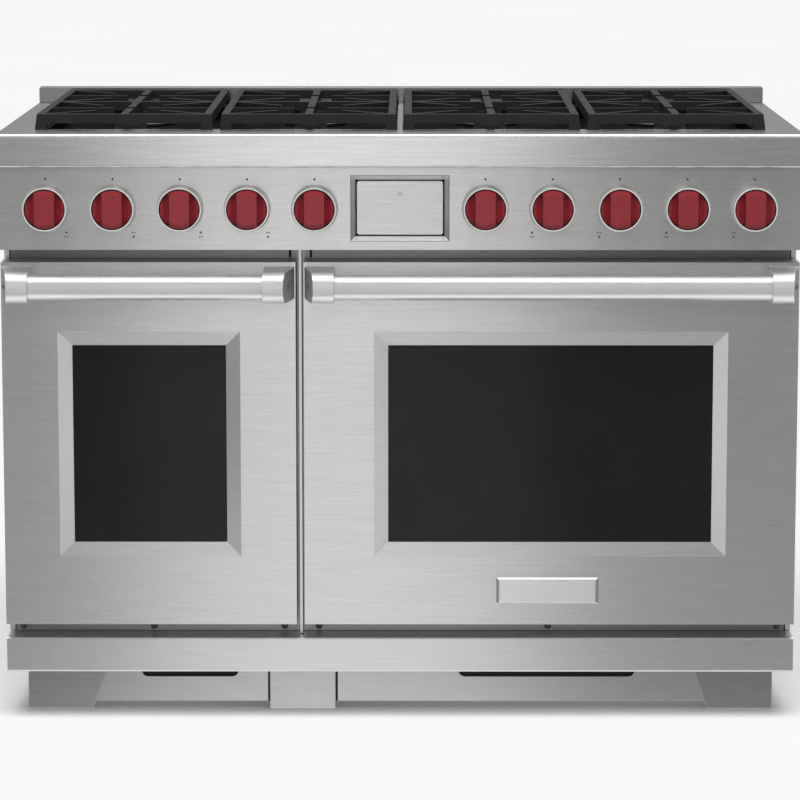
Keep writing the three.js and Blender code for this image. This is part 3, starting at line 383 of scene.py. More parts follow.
def closed_ring(bm, profile, sides):
    """Adds a turned ring about Y: a closed outline that stays off the axis."""
    turned(bm, [*profile, profile[0]], sides)
    bmesh.ops.remove_doubles(bm, verts=bm.verts, dist=WELD)


def rounded_rod(radius, start, end, edge):
    """The profile of a rod with rounded edges at both ends."""
    steps = [math.pi / 2 * i / 4 for i in range(5)]
    first = [(radius - edge + edge * math.sin(a), start + edge - edge * math.cos(a)) for a in steps]
    last = [(radius - edge + edge * math.cos(a), end - edge + edge * math.sin(a)) for a in steps]
    return [(0, start), *first, *last, (0, end)]


def in_metres(points):
    """Points given in millimetres."""
    return [tuple(value * MM for value in point) for point in points]


def side_name(sign):
    return "left" if sign < 0 else "right"


def turned_piece(name, profile, sides, axis, at, body, material):
    bm = bmesh.new()
    turned(bm, profile, sides, axis)
    return placed(name, mesh_of(bm, name), body, material, at)


def rounded_outline(width, height, radius, steps=5):
    """A rectangle with round corners, centred, as (across, up) points."""
    points = []
    for turn, (sx, sz) in enumerate(((1, 1), (-1, 1), (-1, -1), (1, -1))):
        centre = (sx * (width / 2 - radius), sz * (height / 2 - radius))
        for i in range(steps + 1):
            angle = math.pi / 2 * (turn + i / steps)
            points.append((centre[0] + radius * math.cos(angle), centre[1] + radius * math.sin(angle)))
    return points


def extruded(bm, outline, low, high, plane="XZ"):
    """Adds a prism: an outline in the XZ or YZ plane, drawn out between two places on the third axis."""
    def corner(across, up, along):
        return (across, along, up) if plane == "XZ" else (along, across, up)

    near = [bm.verts.new(corner(a, u, low)) for a, u in outline]
    far = [bm.verts.new(corner(a, u, high)) for a, u in outline]
    bm.faces.new(near)
    bm.faces.new(far)
    for i in range(len(outline)):
        j = (i + 1) % len(outline)
        bm.faces.new((near[i], near[j], far[j], far[i]))


def slab(name, outline, low, high, body, material, at, edge):
    """A flat piece that faces the front or back, between two depths, with rounded edges."""
    bm = bmesh.new()
    extruded(bm, outline, low, high)
    return bevelled(placed(name, mesh_of(bm, name), body, material, at), edge, 2)


def loop_strip(bm, rings):
    """Joins rings of equal counts, one to the next, into a band."""
    for first, second in zip(rings, rings[1:]):
        for i in range(len(first)):
            j = (i + 1) % len(first)
            bm.faces.new((first[i], first[j], second[j], second[i]))


def framed(bm, outlines):
    """Adds a picture-frame solid: (outline, y) rings in XZ that run round the section and close."""
    rings = [[bm.verts.new((a, y, u)) for a, u in outline] for outline, y in outlines]
    loop_strip(bm, [*rings, rings[0]])


def wire(bm, points, radius, sides=8):
    """Adds a round wire along straight lines and bends, with domed ends."""
    route = [Vector(point) for point in points]
    heading = (route[1] - route[0]).normalized()
    side = heading.orthogonal().normalized()
    rings = []
    for i, point in enumerate(route):
        before = (point - route[i - 1]).normalized() if i else heading
        after = (route[i + 1] - point).normalized() if i + 1 < len(route) else before
        direction = (before + after).normalized()
        side = (side - direction * side.dot(direction)).normalized()
        other = direction.cross(side)
        stretch = 1 / max(0.5, direction.dot(before))
        angles = [2 * math.pi * k / sides for k in range(sides)]
        rings.append([
            bm.verts.new(point + (side * math.cos(a) + other * math.sin(a)) * radius * (stretch if i else 1))
            for a in angles
        ])
    loop_strip(bm, rings)
    dome = radius / 2
    for ring, tip in ((rings[0], route[0] - heading * dome), (rings[-1], route[-1] + before * dome)):
        apex = bm.verts.new(tip)
        for k in range(sides):
            bm.faces.new((ring[k], ring[(k + 1) % sides], apex))


def bend(corner, start, end, radius, steps=5):
    """Points round a corner between two directions, for a wire."""
    corner = Vector(corner)
    a = (Vector(start) - corner).normalized()
    b = (Vector(end) - corner).normalized()
    points = []
    for i in range(steps + 1):
        t = i / steps
        points.append(corner + a * radius * (1 - t) ** 2 + b * radius * t ** 2)
    return points


CROSS = (0.62, 0.14)  # half the length and width of a cross head's arms, as shares of the head's radius


def rectangle(centre, half_width, half_height):
    x, z = centre
    return [
        (x - half_width, z - half_height), (x + half_width, z - half_height),
        (x + half_width, z + half_height), (x - half_width, z + half_height),
    ]


def screw(name, at, radius, facing, material):
    """A pan-head screw in the body, with a cross on its head: it faces the front, -1, or the back, 1."""
    height = radius * 0.45
    shoulder = 0.25 * height
    bm = bmesh.new()
    dome = [(radius * math.cos(a), shoulder + (height - shoulder) * math.sin(a))
            for a in (0.0, 0.35, 0.7, 1.05, 1.3)]
    profile = [(0, 0), (radius, 0), *dome, (0, height)]
    turned(bm, [(r, facing * along) for r, along in profile], 24)
    for half_width, half_height in (CROSS, CROSS[::-1]):
        arm = rectangle((0, 0), half_width * radius, half_height * radius)
        extruded(bm, arm, facing * height * 0.9, facing * height * 1.04)
    placed(name, mesh_of(bm, name), "range_body", material, at)


# ---------------------------------------------------------------- sheet metal

# CAD nodes with flat faces: material, slot and the rounding of their edges in millimetres
REFINED = (
    ("control_panel", steel, "stainless", 0.4),
    ("display_bezel", steel, "stainless", 0.25),
    ("front_frame", steel_frame_painted_shade, "stainless", 0.4),
    ("side_panel_left", steel_side, "stainless", 0.8),
    ("side_panel_right", steel_side, "stainless", 0.8),
    ("back_panel", zinc, "galvanised", 0.5),
    ("base_pan", zinc, "galvanised", 0.5),
    ("oven_liner_left", oven_enamel, "oven_enamel", 0.8),
    ("oven_liner_right", oven_enamel, "oven_enamel", 0.8),
    ("door_left_panel", steel, "stainless", 1.2),
    ("door_right_panel", steel, "stainless", 1.2),
    ("door_left_glass", dark_glass, "dark_glass", 0.4),
    ("door_right_glass", dark_glass, "dark_glass", 0.4),
    ("door_left_liner", oven_enamel, "oven_enamel", 1.0),
    ("door_right_liner", oven_enamel, "oven_enamel", 1.0),
    ("cooktop_frame", steel_top_painted_shade, "stainless", 0.5),
    ("burner_pan_left", black_enamel, "black_enamel", 0.6),
    ("burner_pan_right", black_enamel, "black_enamel", 0.6),
    ("rear_riser", steel_top_painted_shade, "stainless", 0.7),
    ("leg_front_left", steel_leg_painted_shade, "stainless", 1.2),
    ("leg_front_right", steel_leg_painted_shade, "stainless", 1.2),
    ("leg_centre", steel_toe_painted_shade, "stainless", 1.2),
    ("toe_panel", steel_toe_painted_shade, "stainless", 0.3),
)
# CAD nodes with bends or round sides, whose edges are already rounded
BENT = (
    ("front_rail", steel_rail_painted_light, "stainless"),
    ("kickplate", steel, "stainless"),
    ("leg_rear_left", chrome, "chrome"),
    ("leg_rear_right", chrome, "chrome"),
    ("gas_inlet", brass, "brass"),
)


GRATE_EDGE = 1.1 * MM


def make_sheets():
    """The CAD shapes that stay: sheets, bent pieces and grates."""
    for node, material, slot, edge in REFINED:
        refined(node, material, edge * MM)
    for node, material, slot in BENT:
        refined(node, material)
    top_of_rail(bpy.data.objects["front_rail_finished"].data)
    for node in sorted(n for n in nodes if n.startswith("grate_")):
        refined(node, iron, GRATE_EDGE)


def top_of_rail(mesh):
    """The rail's flat top gets the darker top steel of the ledges beside the grates: painted shade on its
    upward faces.
    """
    mesh.materials.append(steel_top_painted_shade)
    for face in mesh.polygons:
        upwards = face.normal.z > 0.97
        face.material_index = int(upwards)


# ---------------------------------------------------------------- knobs

KNOB_CAP = 30.1 * MM  # radius of the red cap
KNOB_CHAMFER = (7.0 * MM, 3.0 * MM)  # how far in from the edge it starts, and how deep it gets
GRIP_HALF = 15.0 * MM
GRIP_FOOT = 17.0 * MM  # half the grip's width where it meets the scoops
SCOOP_DEPTH = 9.5 * MM
SCOOP_RISE = 6.5 * MM  # how much shallower a scoop is at the cap's edge
KNOB_EDGE = (1.5 * MM, 1.6 * MM)  # width and depth of the rounding at the cap's edge
CAP_SHADE_RING = in_metres((  # the black ring round the cap, painted shade for the gap between cap and skirt: radius, distance behind the cap's face
    (29.6, 3.0), (30.4, 3.0), (30.7, 3.8), (30.7, 22.0), (30.0, 23.4), (29.6, 23.4),
))
SHAFT_RADIUS = 3.2 * MM
SHAFT_START = 20 * MM  # behind the cap's face
SKIRT_FRONT = (31.0 * MM, 32.9 * MM)  # inner and outer radius of the chrome skirt's lip
SKIRT_BACK = 35.6 * MM
SKIRT_SHOULDER = 5 * MM  # how far before the panel the skirt stops being a cone
RING_SIDES = 96


def knob_depth(x, z):
    """How far behind the knob's foremost plane its front surface lies."""
    radius = math.hypot(x, z)
    start, deep = KNOB_CHAMFER
    chamfer = max(0.0, radius - (KNOB_CAP - start)) / start * deep
    wall = (abs(x) - GRIP_HALF) / (GRIP_FOOT - GRIP_HALF)
    scoop = SCOOP_DEPTH * smooth_step(wall)
    rise = SCOOP_RISE * smooth_step((abs(x) - GRIP_FOOT) / (KNOB_CAP - GRIP_FOOT))
    edge_width, edge_depth = KNOB_EDGE
    edge = edge_depth * max(0.0, (radius - KNOB_CAP + edge_width) / edge_width) ** 2
    return max(chamfer, scoop - rise) + edge


def smooth_step(t):
    """0 up to 0, 1 from 1 on, and an even S between them."""
    t = min(1.0, max(0.0, t))
    return t * t * (3 - 2 * t)


def knob_mesh(back):
    """The red cap as a fine round net over its hollows, closed by a straight side."""
    bm = bmesh.new()
    columns = [0.0]
    for start, end, count in ((0, GRIP_HALF, 8), (GRIP_HALF, GRIP_FOOT, 5), (GRIP_FOOT, KNOB_CAP, 8)):
        columns += [start + (end - start) * i / count for i in range(1, count + 1)]
    columns = [-x for x in reversed(columns[1:])] + columns
    rows = 48
    net = []
    for x in columns:
        half = math.sqrt(max(0.0, KNOB_CAP ** 2 - x * x))
        heights = [half * math.sin(math.pi / 2 * (2 * j / rows - 1)) for j in range(rows + 1)]
        net.append([bm.verts.new((x, knob_depth(x, z), z)) for z in heights])
    for first, second in zip(net, net[1:]):
        for j in range(rows):
            bm.faces.new((first[j], first[j + 1], second[j + 1], second[j]))
    bmesh.ops.remove_doubles(bm, verts=bm.verts, dist=20 * WELD)
    rim = [edge for edge in bm.edges if edge.is_boundary]
    made = bmesh.ops.extrude_edge_only(bm, edges=rim)["geom"]
    wall = [v for v in made if isinstance(v, bmesh.types.BMVert)]
    for vert in wall:
        vert.co.y = back
    bmesh.ops.contextual_create(bm, geom=[e for e in made if isinstance(e, bmesh.types.BMEdge)])
    return mesh_of(bm, "knob_cap", smooth=math.radians(50))


def make_knobs():
    """Every knob: its red cap, the black ring of painted shade round it and its shaft turn, and its skirt and
    marks stay.
    """
    knobs = sorted(node for node in nodes if node.startswith("knob_"))
    low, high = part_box(knobs[0])
    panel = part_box("control_panel")[0].y
    reach = panel - low.y
    cap = knob_mesh(reach - 3 * MM)
    shaft = rounded_rod(SHAFT_RADIUS, SHAFT_START, high.y - low.y, SHAFT_RADIUS / 4)
    for node in knobs:
        centre = middle(node)
        at = (centre.x, low.y, centre.z)
        obj = placed(node + "_cap", cap, body_of[node], red, at)
        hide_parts(node)
        bm = bmesh.new()
        closed_ring(bm, CAP_SHADE_RING, RING_SIDES)
        placed(node + "_shade_ring", mesh_of(bm, "shade_ring"), body_of[node], black_rubber_and_painted_shade, at)
        turned_piece(node + "_shaft", shaft, 20, "Y", at, body_of[node], chrome)
        make_skirt(node, (centre.x, panel, centre.z), reach)
        make_marks(node, (centre.x, panel, centre.z))


def make_skirt(node, at, reach):
    """The chrome skirt round a knob, fixed to the panel: wide at the panel, with a lip in front that is
    bright partly by painted highlight.
    """
    inner, lip = SKIRT_FRONT
    front = -reach + 0.5 * MM
    off_panel = -0.2 * MM
    bm = bmesh.new()
    closed_ring(bm, [
        (inner, off_panel),
        (inner, front + 0.9 * MM),
        (inner + 0.3 * MM, front + 0.25 * MM),
        (inner + 1.0 * MM, front),
        (lip - 0.3 * MM, front + 0.25 * MM),
        (lip, front + 0.9 * MM),
        (lip + 0.5 * MM, front + 6 * MM),
        (SKIRT_BACK - 1.2 * MM, -SKIRT_SHOULDER),
        (SKIRT_BACK, -1.2 * MM),
        (SKIRT_BACK, off_panel),
    ], RING_SIDES)
    mesh = mesh_of(bm, "skirt")
    mesh.materials.append(chrome_satin)
    mesh.materials.append(chrome_lip_painted_highlight)
    for face in mesh.polygons:
        in_front = face.center.y < front + 1 * MM
        face.material_index = int(in_front)
    placed(node + "_skirt", mesh, "range_body", chrome_satin, at)


MARK_RISE = 44 * MM  # knob's axis to the dot over it
DOT_RADIUS = 1.7 * MM
ICON_PLACE = (31 * MM, -40 * MM)  # knob's axis to the burner plan, towards the range's middle and down
ICON_ROW = 3.2 * MM  # plan's middle to its rows
ICON_SQUARES = (-1.8 * MM, 1.8 * MM)
SQUARE_HALF = 1.0 * MM
INK_THICKNESS = 0.12 * MM


def make_marks(node, at):
    """The printed dot over a knob, and the little burner plan beside the burner knobs."""
    x, y, z = at
    dots = [(x, z + MARK_RISE)]
    bm = bmesh.new()
    if "burner" in node:
        inward = math.copysign(1, -x)
        plan_x = x + inward * ICON_PLACE[0]
        plan_z = z + ICON_PLACE[1]
        rear_burner = int(node[-1]) % 2
        row = ICON_ROW if rear_burner else -ICON_ROW
        dots.append((plan_x, plan_z + row))
        for across in ICON_SQUARES:
            square = rectangle((plan_x + across, plan_z - row), SQUARE_HALF, SQUARE_HALF)
            extruded(bm, square, y - INK_THICKNESS, y + INK_THICKNESS)
    back, front = -INK_THICKNESS, INK_THICKNESS
    for dot_x, dot_z in dots:
        disc = [(0, back), (DOT_RADIUS, back), (DOT_RADIUS, front), (0, front)]
        turned(bm, disc, 20, "Y", (dot_x, y, dot_z))
    placed(node + "_marks", mesh_of(bm, "marks"), "range_body", ink)


# ---------------------------------------------------------------- display

DISPLAY_FACE = 131 * MM  # width of the module's face; its pivots reach past it
SCREEN_THICKNESS = 1.5 * MM
SCREEN_MARGIN = 2.5 * MM
PIVOT_RADIUS = 2.5 * MM
PIVOT_OVERLAP = 0.5 * MM  # how far a pivot starts inside the module
POWER_RING = 2.6 * MM
POWER_RISE = 21.5 * MM  # module's middle to the power mark
POWER_LINE = 0.35 * MM
HOUSING_WALL = 1.5 * MM
HOUSING_GAP = 1.2 * MM  # round the module as it turns
HOUSING_END_GAP = 1 * MM
HOUSING_ARC = math.radians(168)


def make_display():
    """The module that turns over: a brushed face on one side, a touch screen on the other."""
    low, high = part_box("display_module")
    centre = (low + high) / 2
    pivot_reach = (high.x - low.x) / 2 - (DISPLAY_FACE / 2)
    height, thick = high.z - low.z, high.y - low.y
    face = rounded_outline(DISPLAY_FACE, height, 4 * MM)
    screen_front = thick / 2 - SCREEN_THICKNESS
    case = slab("display_module_case", face, -thick / 2, screen_front, "display", steel,
                centre, edge=0.9 * MM)
    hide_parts("display_module")
    glass = rounded_outline(DISPLAY_FACE - 2 * SCREEN_MARGIN, height - 2 * SCREEN_MARGIN, 3 * MM)
    slab("display_touch_screen", glass, screen_front, thick / 2, "display", screen_glass,
         centre, edge=0.4 * MM)
    pivot = rounded_rod(PIVOT_RADIUS, 0, pivot_reach, 0.4 * MM)
    for sign in (-1, 1):
        start = sign * DISPLAY_FACE / 2
        profile = [(radius, start + sign * (along - PIVOT_OVERLAP)) for radius, along in pivot]
        turned_piece("display_pivot_" + side_name(sign), profile, 24, "X", centre, "display",
                     black_rubber_and_painted_shade)
    make_power_mark((centre.x, centre.y - thick / 2, centre.z))
    make_display_housing(low, high)


def make_power_mark(at):
    """A thin open ring with a stroke in its gap, printed near the top of the module's face."""
    bm = bmesh.new()
    start, end = math.radians(130), math.radians(410)
    steps = 16
    angles = [start + (end - start) * i / steps for i in range(steps + 1)]
    ring = [(POWER_RING * math.cos(a), 0, POWER_RISE + POWER_RING * math.sin(a)) for a in angles]
    stroke = [(0, 0, POWER_RISE + POWER_RING * share) for share in (0.4, 1.5)]
    for route in (ring, stroke):
        wire(bm, route, POWER_LINE, 6)
    for vert in bm.verts:
        vert.co.y *= 0.3
    placed("display_power_mark", mesh_of(bm, "mark"), "display", ink, at)


def make_display_housing(low, high):
    """A dark trough behind the opening, open towards the front, with room for the module to turn."""
    inner = math.hypot(high.y - low.y, high.z - low.z) / 2 + HOUSING_GAP
    centre = (low + high) / 2
    steps = 24
    angles = [HOUSING_ARC * (i / steps - 0.5) for i in range(steps + 1)]

    def arc(radius):
        return [(centre.y + radius * math.cos(a), centre.z + radius * math.sin(a)) for a in angles]

    outer_arc = arc(inner + HOUSING_WALL)
    start, end = low.x - HOUSING_END_GAP, high.x + HOUSING_END_GAP
    bm = bmesh.new()
    extruded(bm, outer_arc + arc(inner)[::-1], start, end, "YZ")
    extruded(bm, outer_arc, start - HOUSING_WALL, start, "YZ")
    extruded(bm, outer_arc, end, end + HOUSING_WALL, "YZ")
    placed("display_housing", mesh_of(bm, "housing"), "range_body", black_rubber_and_painted_shade)


# ---------------------------------------------------------------- doors

BAR_EDGE = 1.0 * MM
BRACKET_SLANT = 15.0 / 85.5  # the bracket's outer side leans in by 15 mm over its reach
BRACKET_FILLET = 2.5 * MM  # where it meets the door
BRACKET_EDGE = 0.9 * MM
SET_SCREW_BACK = 18 * MM  # handle's axis to the set screw's
SET_SCREW = in_metres((  # radius, distance along its axis from the bracket's side
    (0, -1.2), (2.6, -1.2), (2.6, 0.5), (4.9, 0.7), (5.5, 0.2), (5.5, -1.4), (0, -1.4),
))


def make_handles():
    """Each door's round bar, and the two brackets that hold it."""
    for side in DOORS:
        node = f"door_{side}_handle_bar"
        low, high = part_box(node)
        radius = (high.z - low.z) / 2
        at = (low.x, (low.y + high.y) / 2, (low.z + high.z) / 2)
        profile = rounded_rod(radius, 0, high.x - low.x, BAR_EDGE)
        bar = turned_piece(
            node + "_finished", profile, 96, "X", at, "door_" + side, steel_bar,
        )
        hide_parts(node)
        for sign in (-1, 1):
            make_bracket(f"door_{side}_handle_bracket_{side_name(sign)}", side, sign)


def make_bracket(node, side, sign):
    """A cast bracket: round in front, flat above and below, its outer side leaning in."""
    low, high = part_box(node)
    radius = (high.z - low.z) / 2
    centre_y, centre_z = low.y + radius, (low.z + high.z) / 2
    root = high.y
    inner = high.x if sign < 0 else low.x
    outer = low.x if sign < 0 else high.x
    arc = [math.radians(90 + 180 * i / 28) for i in range(29)]
    nose = [(centre_y + radius * math.cos(a), centre_z + radius * math.sin(a)) for a in arc]

    def flare(z_sign):
        """The round corner where the bracket's top or underside meets the door."""
        angles = [math.radians(90 * i / 5) for i in range(6)]
        start = root - BRACKET_FILLET
        level = radius + BRACKET_FILLET
        return [
            (start + BRACKET_FILLET * math.sin(a), centre_z + z_sign * (level - BRACKET_FILLET * math.cos(a)))
            for a in angles
        ]

    bm = bmesh.new()
    extruded(bm, flare(1)[::-1] + nose + flare(-1), inner, outer, "YZ")
    for vert in bm.verts:
        if abs(vert.co.x - outer) < WELD:
            vert.co.x -= sign * (root - vert.co.y) * BRACKET_SLANT
    mesh = mesh_of(bm, node)
    mesh.materials.append(steel_cast)
    mesh.materials.append(steel_blasted)
    for face in mesh.polygons:
        faces_outwards = face.normal.x * sign > 0.9
        face.material_index = int(faces_outwards)
    obj = placed(node + "_finished", mesh, "door_" + side, steel_cast)
    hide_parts(node)
    bevelled(obj, BRACKET_EDGE, 3)
    screw_y = centre_y + SET_SCREW_BACK
    at = (outer - sign * (root - screw_y) * BRACKET_SLANT, screw_y, centre_z)
    profile = [(r, sign * along) for r, along in SET_SCREW]
    cap = turned_piece(
        node + "_set_screw", profile, 32, "X", (0, 0, 0), "door_" + side, element_grey,
    )
    lean = math.atan(BRACKET_SLANT)
    cap.matrix_world = Matrix.Translation(at) @ Matrix.Rotation(sign * lean, 4, "Z")


def make_door_details():
    for side in DOORS:
        make_inner_glass(side)
        make_oven_gasket(side)
        make_frame_screws(side)
        for sign in (-1, 1):
            make_door_bumper(side, sign)


LINER_WALL = 2 * MM
INNER_GLASS = 4 * MM  # its thickness
INNER_GLASS_SINK = 3 * MM  # how far it stands in front of the liner's back


def make_inner_glass(side):
    """The clear glass in the door's liner, in line with the window."""
    low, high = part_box(f"door_{side}_glass")
    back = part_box(f"door_{side}_liner")[1].y - INNER_GLASS_SINK
    outline = rounded_outline(high.x - low.x, high.z - low.z, 8 * MM)
    centre = ((low.x + high.x) / 2, back, (low.z + high.z) / 2)
    slab(f"door_{side}_inner_glass", outline, -INNER_GLASS, 0, "door_" + side, inner_glass,
         centre, edge=0.5 * MM)


def oven_mouth(side):
    """Width, height and centre of the oven's mouth in the frame's face."""
    low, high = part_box("oven_liner_" + side)
    centre = ((low.x + high.x) / 2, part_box("front_frame")[0].y, (low.z + high.z) / 2)
    return high.x - low.x - 2 * LINER_WALL, high.z - low.z - 2 * LINER_WALL, centre


def make_oven_gasket(side):
    """The woven seal round the oven's mouth, a flattened bead clipped to the frame."""
    width, height, centre = oven_mouth(side)
    inner_gap, bead, proud = 7 * MM, 11 * MM, 3.4 * MM
    rings = []
    for i in range(7):
        angle = math.pi * i / 6
        grow = inner_gap + bead * (1 - math.cos(angle)) / 2
        outline = rounded_outline(width + 2 * grow, height + 2 * grow, 14 * MM + grow)
        rings.append((outline, -proud * math.sin(angle)))
    bm = bmesh.new()
    framed(bm, rings)
    placed(f"oven_gasket_{side}", mesh_of(bm, "gasket"), "range_body", gasket_weave, centre)


SCREW_INSET = 20.8 * MM  # frame screw to the door's edge
SCREW_DROP = 14.5 * MM
FRAME_SCREW = 5.5 * MM


def make_frame_screws(side):
    """Screws in the frame's face, half hidden by the bottom edge of each door."""
    low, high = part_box(f"door_{side}_panel")
    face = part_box("front_frame")[0].y
    for i, x in enumerate((low.x + SCREW_INSET, (low.x + high.x) / 2, high.x - SCREW_INSET)):
        at = (x, face, low.z - SCREW_DROP)
        screw(f"frame_screw_{side}_{i + 1}", at, FRAME_SCREW, -1, element_grey)


PLUG_DEPTH = 22 * MM  # how far the door liner's middle stands behind its plate
BUMPER = in_metres(((0, 0), (6, 0), (5.6, 1.6), (4.4, 2.4), (0, 2.6)))  # radius, rise off the plate


def make_door_bumper(side, sign):
    """A rubber pad on the back of the door's top corner."""
    low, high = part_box(f"door_{side}_liner")
    edge = low.x if sign < 0 else high.x
    plate_back = high.y - PLUG_DEPTH
    at = (edge - sign * 26 * MM, plate_back, high.z - 16 * MM)
    name = f"door_{side}_bumper_" + side_name(sign)
    turned_piece(name, BUMPER, 28, "Y", at, "door_" + side, black_rubber_and_painted_shade)


MULLION_STRIP = 4.6 * MM
MULLION_PROUD = 24 * MM
SLOT_OFFSET = 16.0 * MM
SLOT_SIZE = (3.8 * MM, 19.0 * MM)
NAMEPLATE = (157 * MM, 42 * MM)
NAMEPLATE_CENTRE = (227 * MM, 207 * MM)


def make_mullion():
    """The strip of the frame that stands between the doors, and black strips above it: painted shade for
    slots in the frame.
    """
    gap_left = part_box("door_left_panel")[1].x
    gap_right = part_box("door_right_panel")[0].x
    low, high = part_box("front_frame")
    x = (gap_left + gap_right) / 2
    door_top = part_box("door_left_panel")[1].z
    outline = rounded_outline(MULLION_STRIP, high.z - low.z - 2 * MM, 0.5 * MM, steps=2)
    slab("mullion_strip", outline, -MULLION_PROUD, 0, "range_body", steel,
         (x, low.y, (low.z + high.z) / 2), edge=0.6 * MM)
    # Black strips laid on the frame: painted shade standing in for the dark insides of the slots.
    for sign in (-1, 1):
        outline = rounded_outline(*SLOT_SIZE, 0.6 * MM, steps=2)
        at = (x + sign * SLOT_OFFSET, low.y, (door_top + high.z) / 2)
        slab("frame_slot_shade_" + side_name(sign), outline, -0.4 * MM, 0.2 * MM,
             "range_body", black_rubber_and_painted_shade, at, edge=0.1 * MM)


def make_nameplate():
    """A plain raised plate with a bevelled border, left blank."""
    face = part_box("door_right_panel")[0].y
    width, height = NAMEPLATE
    border, proud, step, sunk = 4.4 * MM, 3.0 * MM, 1.4 * MM, 0.3 * MM

    def outline(inset):
        return rounded_outline(width - 2 * inset, height - 2 * inset, max(0.4 * MM, 1.5 * MM - inset / 3), 3)

    at = (NAMEPLATE_CENTRE[0], face, NAMEPLATE_CENTRE[1])
    bm = bmesh.new()
    framed(bm, [
        (outline(0), sunk), (outline(0), -0.4 * MM), (outline(border * 0.6), -proud),
        (outline(border * 0.72), -proud), (outline(border), step - proud), (outline(border), sunk),
    ])
    obj = placed("nameplate_border", mesh_of(bm, "border"), "door_right", steel_border, at)
    obj.data.shade_flat()
    slab("nameplate_blank", outline(border), step - proud, 0, "door_right", steel_plate,
         at, edge=0.2 * MM)


# ---------------------------------------------------------------- cooktop

# Burner profiles: radius, height above the burner pan.
BURNER_BOWL = in_metres((
    (0, 0.5), (50.8, 0.5), (51.6, 1.2), (51.8, 4.0), (50.8, 5.0), (44.0, 7.0), (42.4, 7.4),
    (41.0, 9.4), (38.6, 9.9), (36.4, 9.2), (34.0, 7.6), (29.5, 7.6), (27.0, 9.6), (0, 9.6),
))
BURNER_CAP = in_metres((
    (0, 25.6), (25.0, 25.6), (25.4, 25.9), (25.5, 26.6), (24.9, 28.0), (23.2, 28.5), (0, 28.7),
))
IGNITOR = in_metres(((0, 6.0), (2.6, 6.0), (2.6, 17.0), (1.9, 18.2), (0, 18.4)))
IGNITOR_REACH = 46 * MM  # burner's axis to the ignitor behind it
HEAD_RADIUS = 24.8 * MM
HEAD_PORTS = 36
PORT_DEPTH = 1.6 * MM


def ported_head(bm, low, high, radius, ports, steps=4):
    """The side of a burner head, with a row of gas ports cut into it."""
    span = high - low
    levels = [(low, False), (low + span * 0.28, False), (low + span * 0.30, True),
              (low + span * 0.70, True), (low + span * 0.72, False), (high, False)]
    count = ports * steps
    rings = []
    for z, open_port in levels:
        ring = []
        for i in range(count):
            angle = 2 * math.pi * i / count
            recessed = open_port and i % steps in (0, 1)
            r = radius - (PORT_DEPTH if recessed else 0)
            ring.append(bm.verts.new((r * math.cos(angle), r * math.sin(angle), z)))
        rings.append(ring)
    loop_strip(bm, rings)
    bm.faces.new(rings[0])
    bm.faces.new(rings[-1])


def make_burners():
    """Each burner: a cast bowl, a ported head, a black cap and an ignitor."""
    burners = sorted(node for node in nodes if node.startswith("burner_") and "pan" not in node)
    for node in burners:
        low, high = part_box(node)
        at = ((low.x + high.x) / 2, (low.y + high.y) / 2, low.z)
        base = turned_piece(
            node + "_bowl", BURNER_BOWL, 96, "Z", at,
            "range_body", bowl_metal_painted_shade,
        )
        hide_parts(node)
        bm = bmesh.new()
        ported_head(bm, BURNER_BOWL[-1][1], BURNER_CAP[0][1], HEAD_RADIUS, HEAD_PORTS)
        placed(node + "_head", mesh_of(bm, "head"), "range_body", head_metal_painted_shade, at)
        turned_piece(
            node + "_cap", BURNER_CAP, 96, "Z", at,
            "range_body", cap_black,
        )
        spark = (at[0], at[1] + IGNITOR_REACH, at[2])
        turned_piece(
            node + "_ignitor", IGNITOR, 20, "Z", spark,
            "range_body", ceramic_white,
        )


# ---------------------------------------------------------------- ovens

def rounded_loop(bm, width, depth, corner, radius):
    """A closed wire round a level rectangle with rounded corners."""
    points = [Vector((across, along, 0)) for across, along in rounded_outline(width, depth, corner)]
    start = (points[0] + points[-1]) / 2
    wire(bm, [start, *points, start], radius, 10)


def make_racks():
    """Chromed wire racks: a heavy rim, two cross wires and fine wires from front to back."""
    rim, cross, fine = 2.9 * MM, 2.2 * MM, 1.6 * MM
    pitch = 21 * MM
    for node in sorted(n for n in nodes if n.startswith("oven_rack")):
        low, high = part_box(node)
        centre = (low + high) / 2
        width, depth = high.x - low.x - 2 * rim, high.y - low.y - 2 * rim
        bm = bmesh.new()
        rounded_loop(bm, width, depth, 16 * MM, rim)
        for share in (-0.3, 0.3):
            y = depth * share
            wire(bm, [(-width / 2, y, -0.7 * MM), (width / 2, y, -0.7 * MM)], cross, 10)
        count = int(width / pitch)
        for i in range(1, count):
            x = -width / 2 + width * i / count
            wire(bm, [(x, -depth / 2, 1.3 * MM), (x, depth / 2, 1.3 * MM)], fine, 8)
        obj = placed(node + "_wires", mesh_of(bm, node), body_of[node], chrome, centre)
        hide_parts(node)


FANS = {"left": 1, "right": 2}
FAN_SPACING = 0.46  # share of the oven's width
FAN_DROP = 20 * MM  # below the middle of the oven
FAN_PLATE = in_metres(((0, 0), (95, 0), (95, -5), (92, -8), (74, -8), (72, -4), (0, -4)))
GUARD_RINGS = (24 * MM, 48 * MM, 70 * MM)
GUARD_SPOKES = 18
GUARD_WIRE = 1.4 * MM
LAMP = in_metres(((0, 0), (24, 0), (24, 3), (20, 6), (12, 9.5), (0, 11)))  # radius, rise off the wall
LAMP_FORWARD = 120 * MM  # in front of the oven's back wall
LAMP_DROP = 50 * MM  # below the oven's ceiling


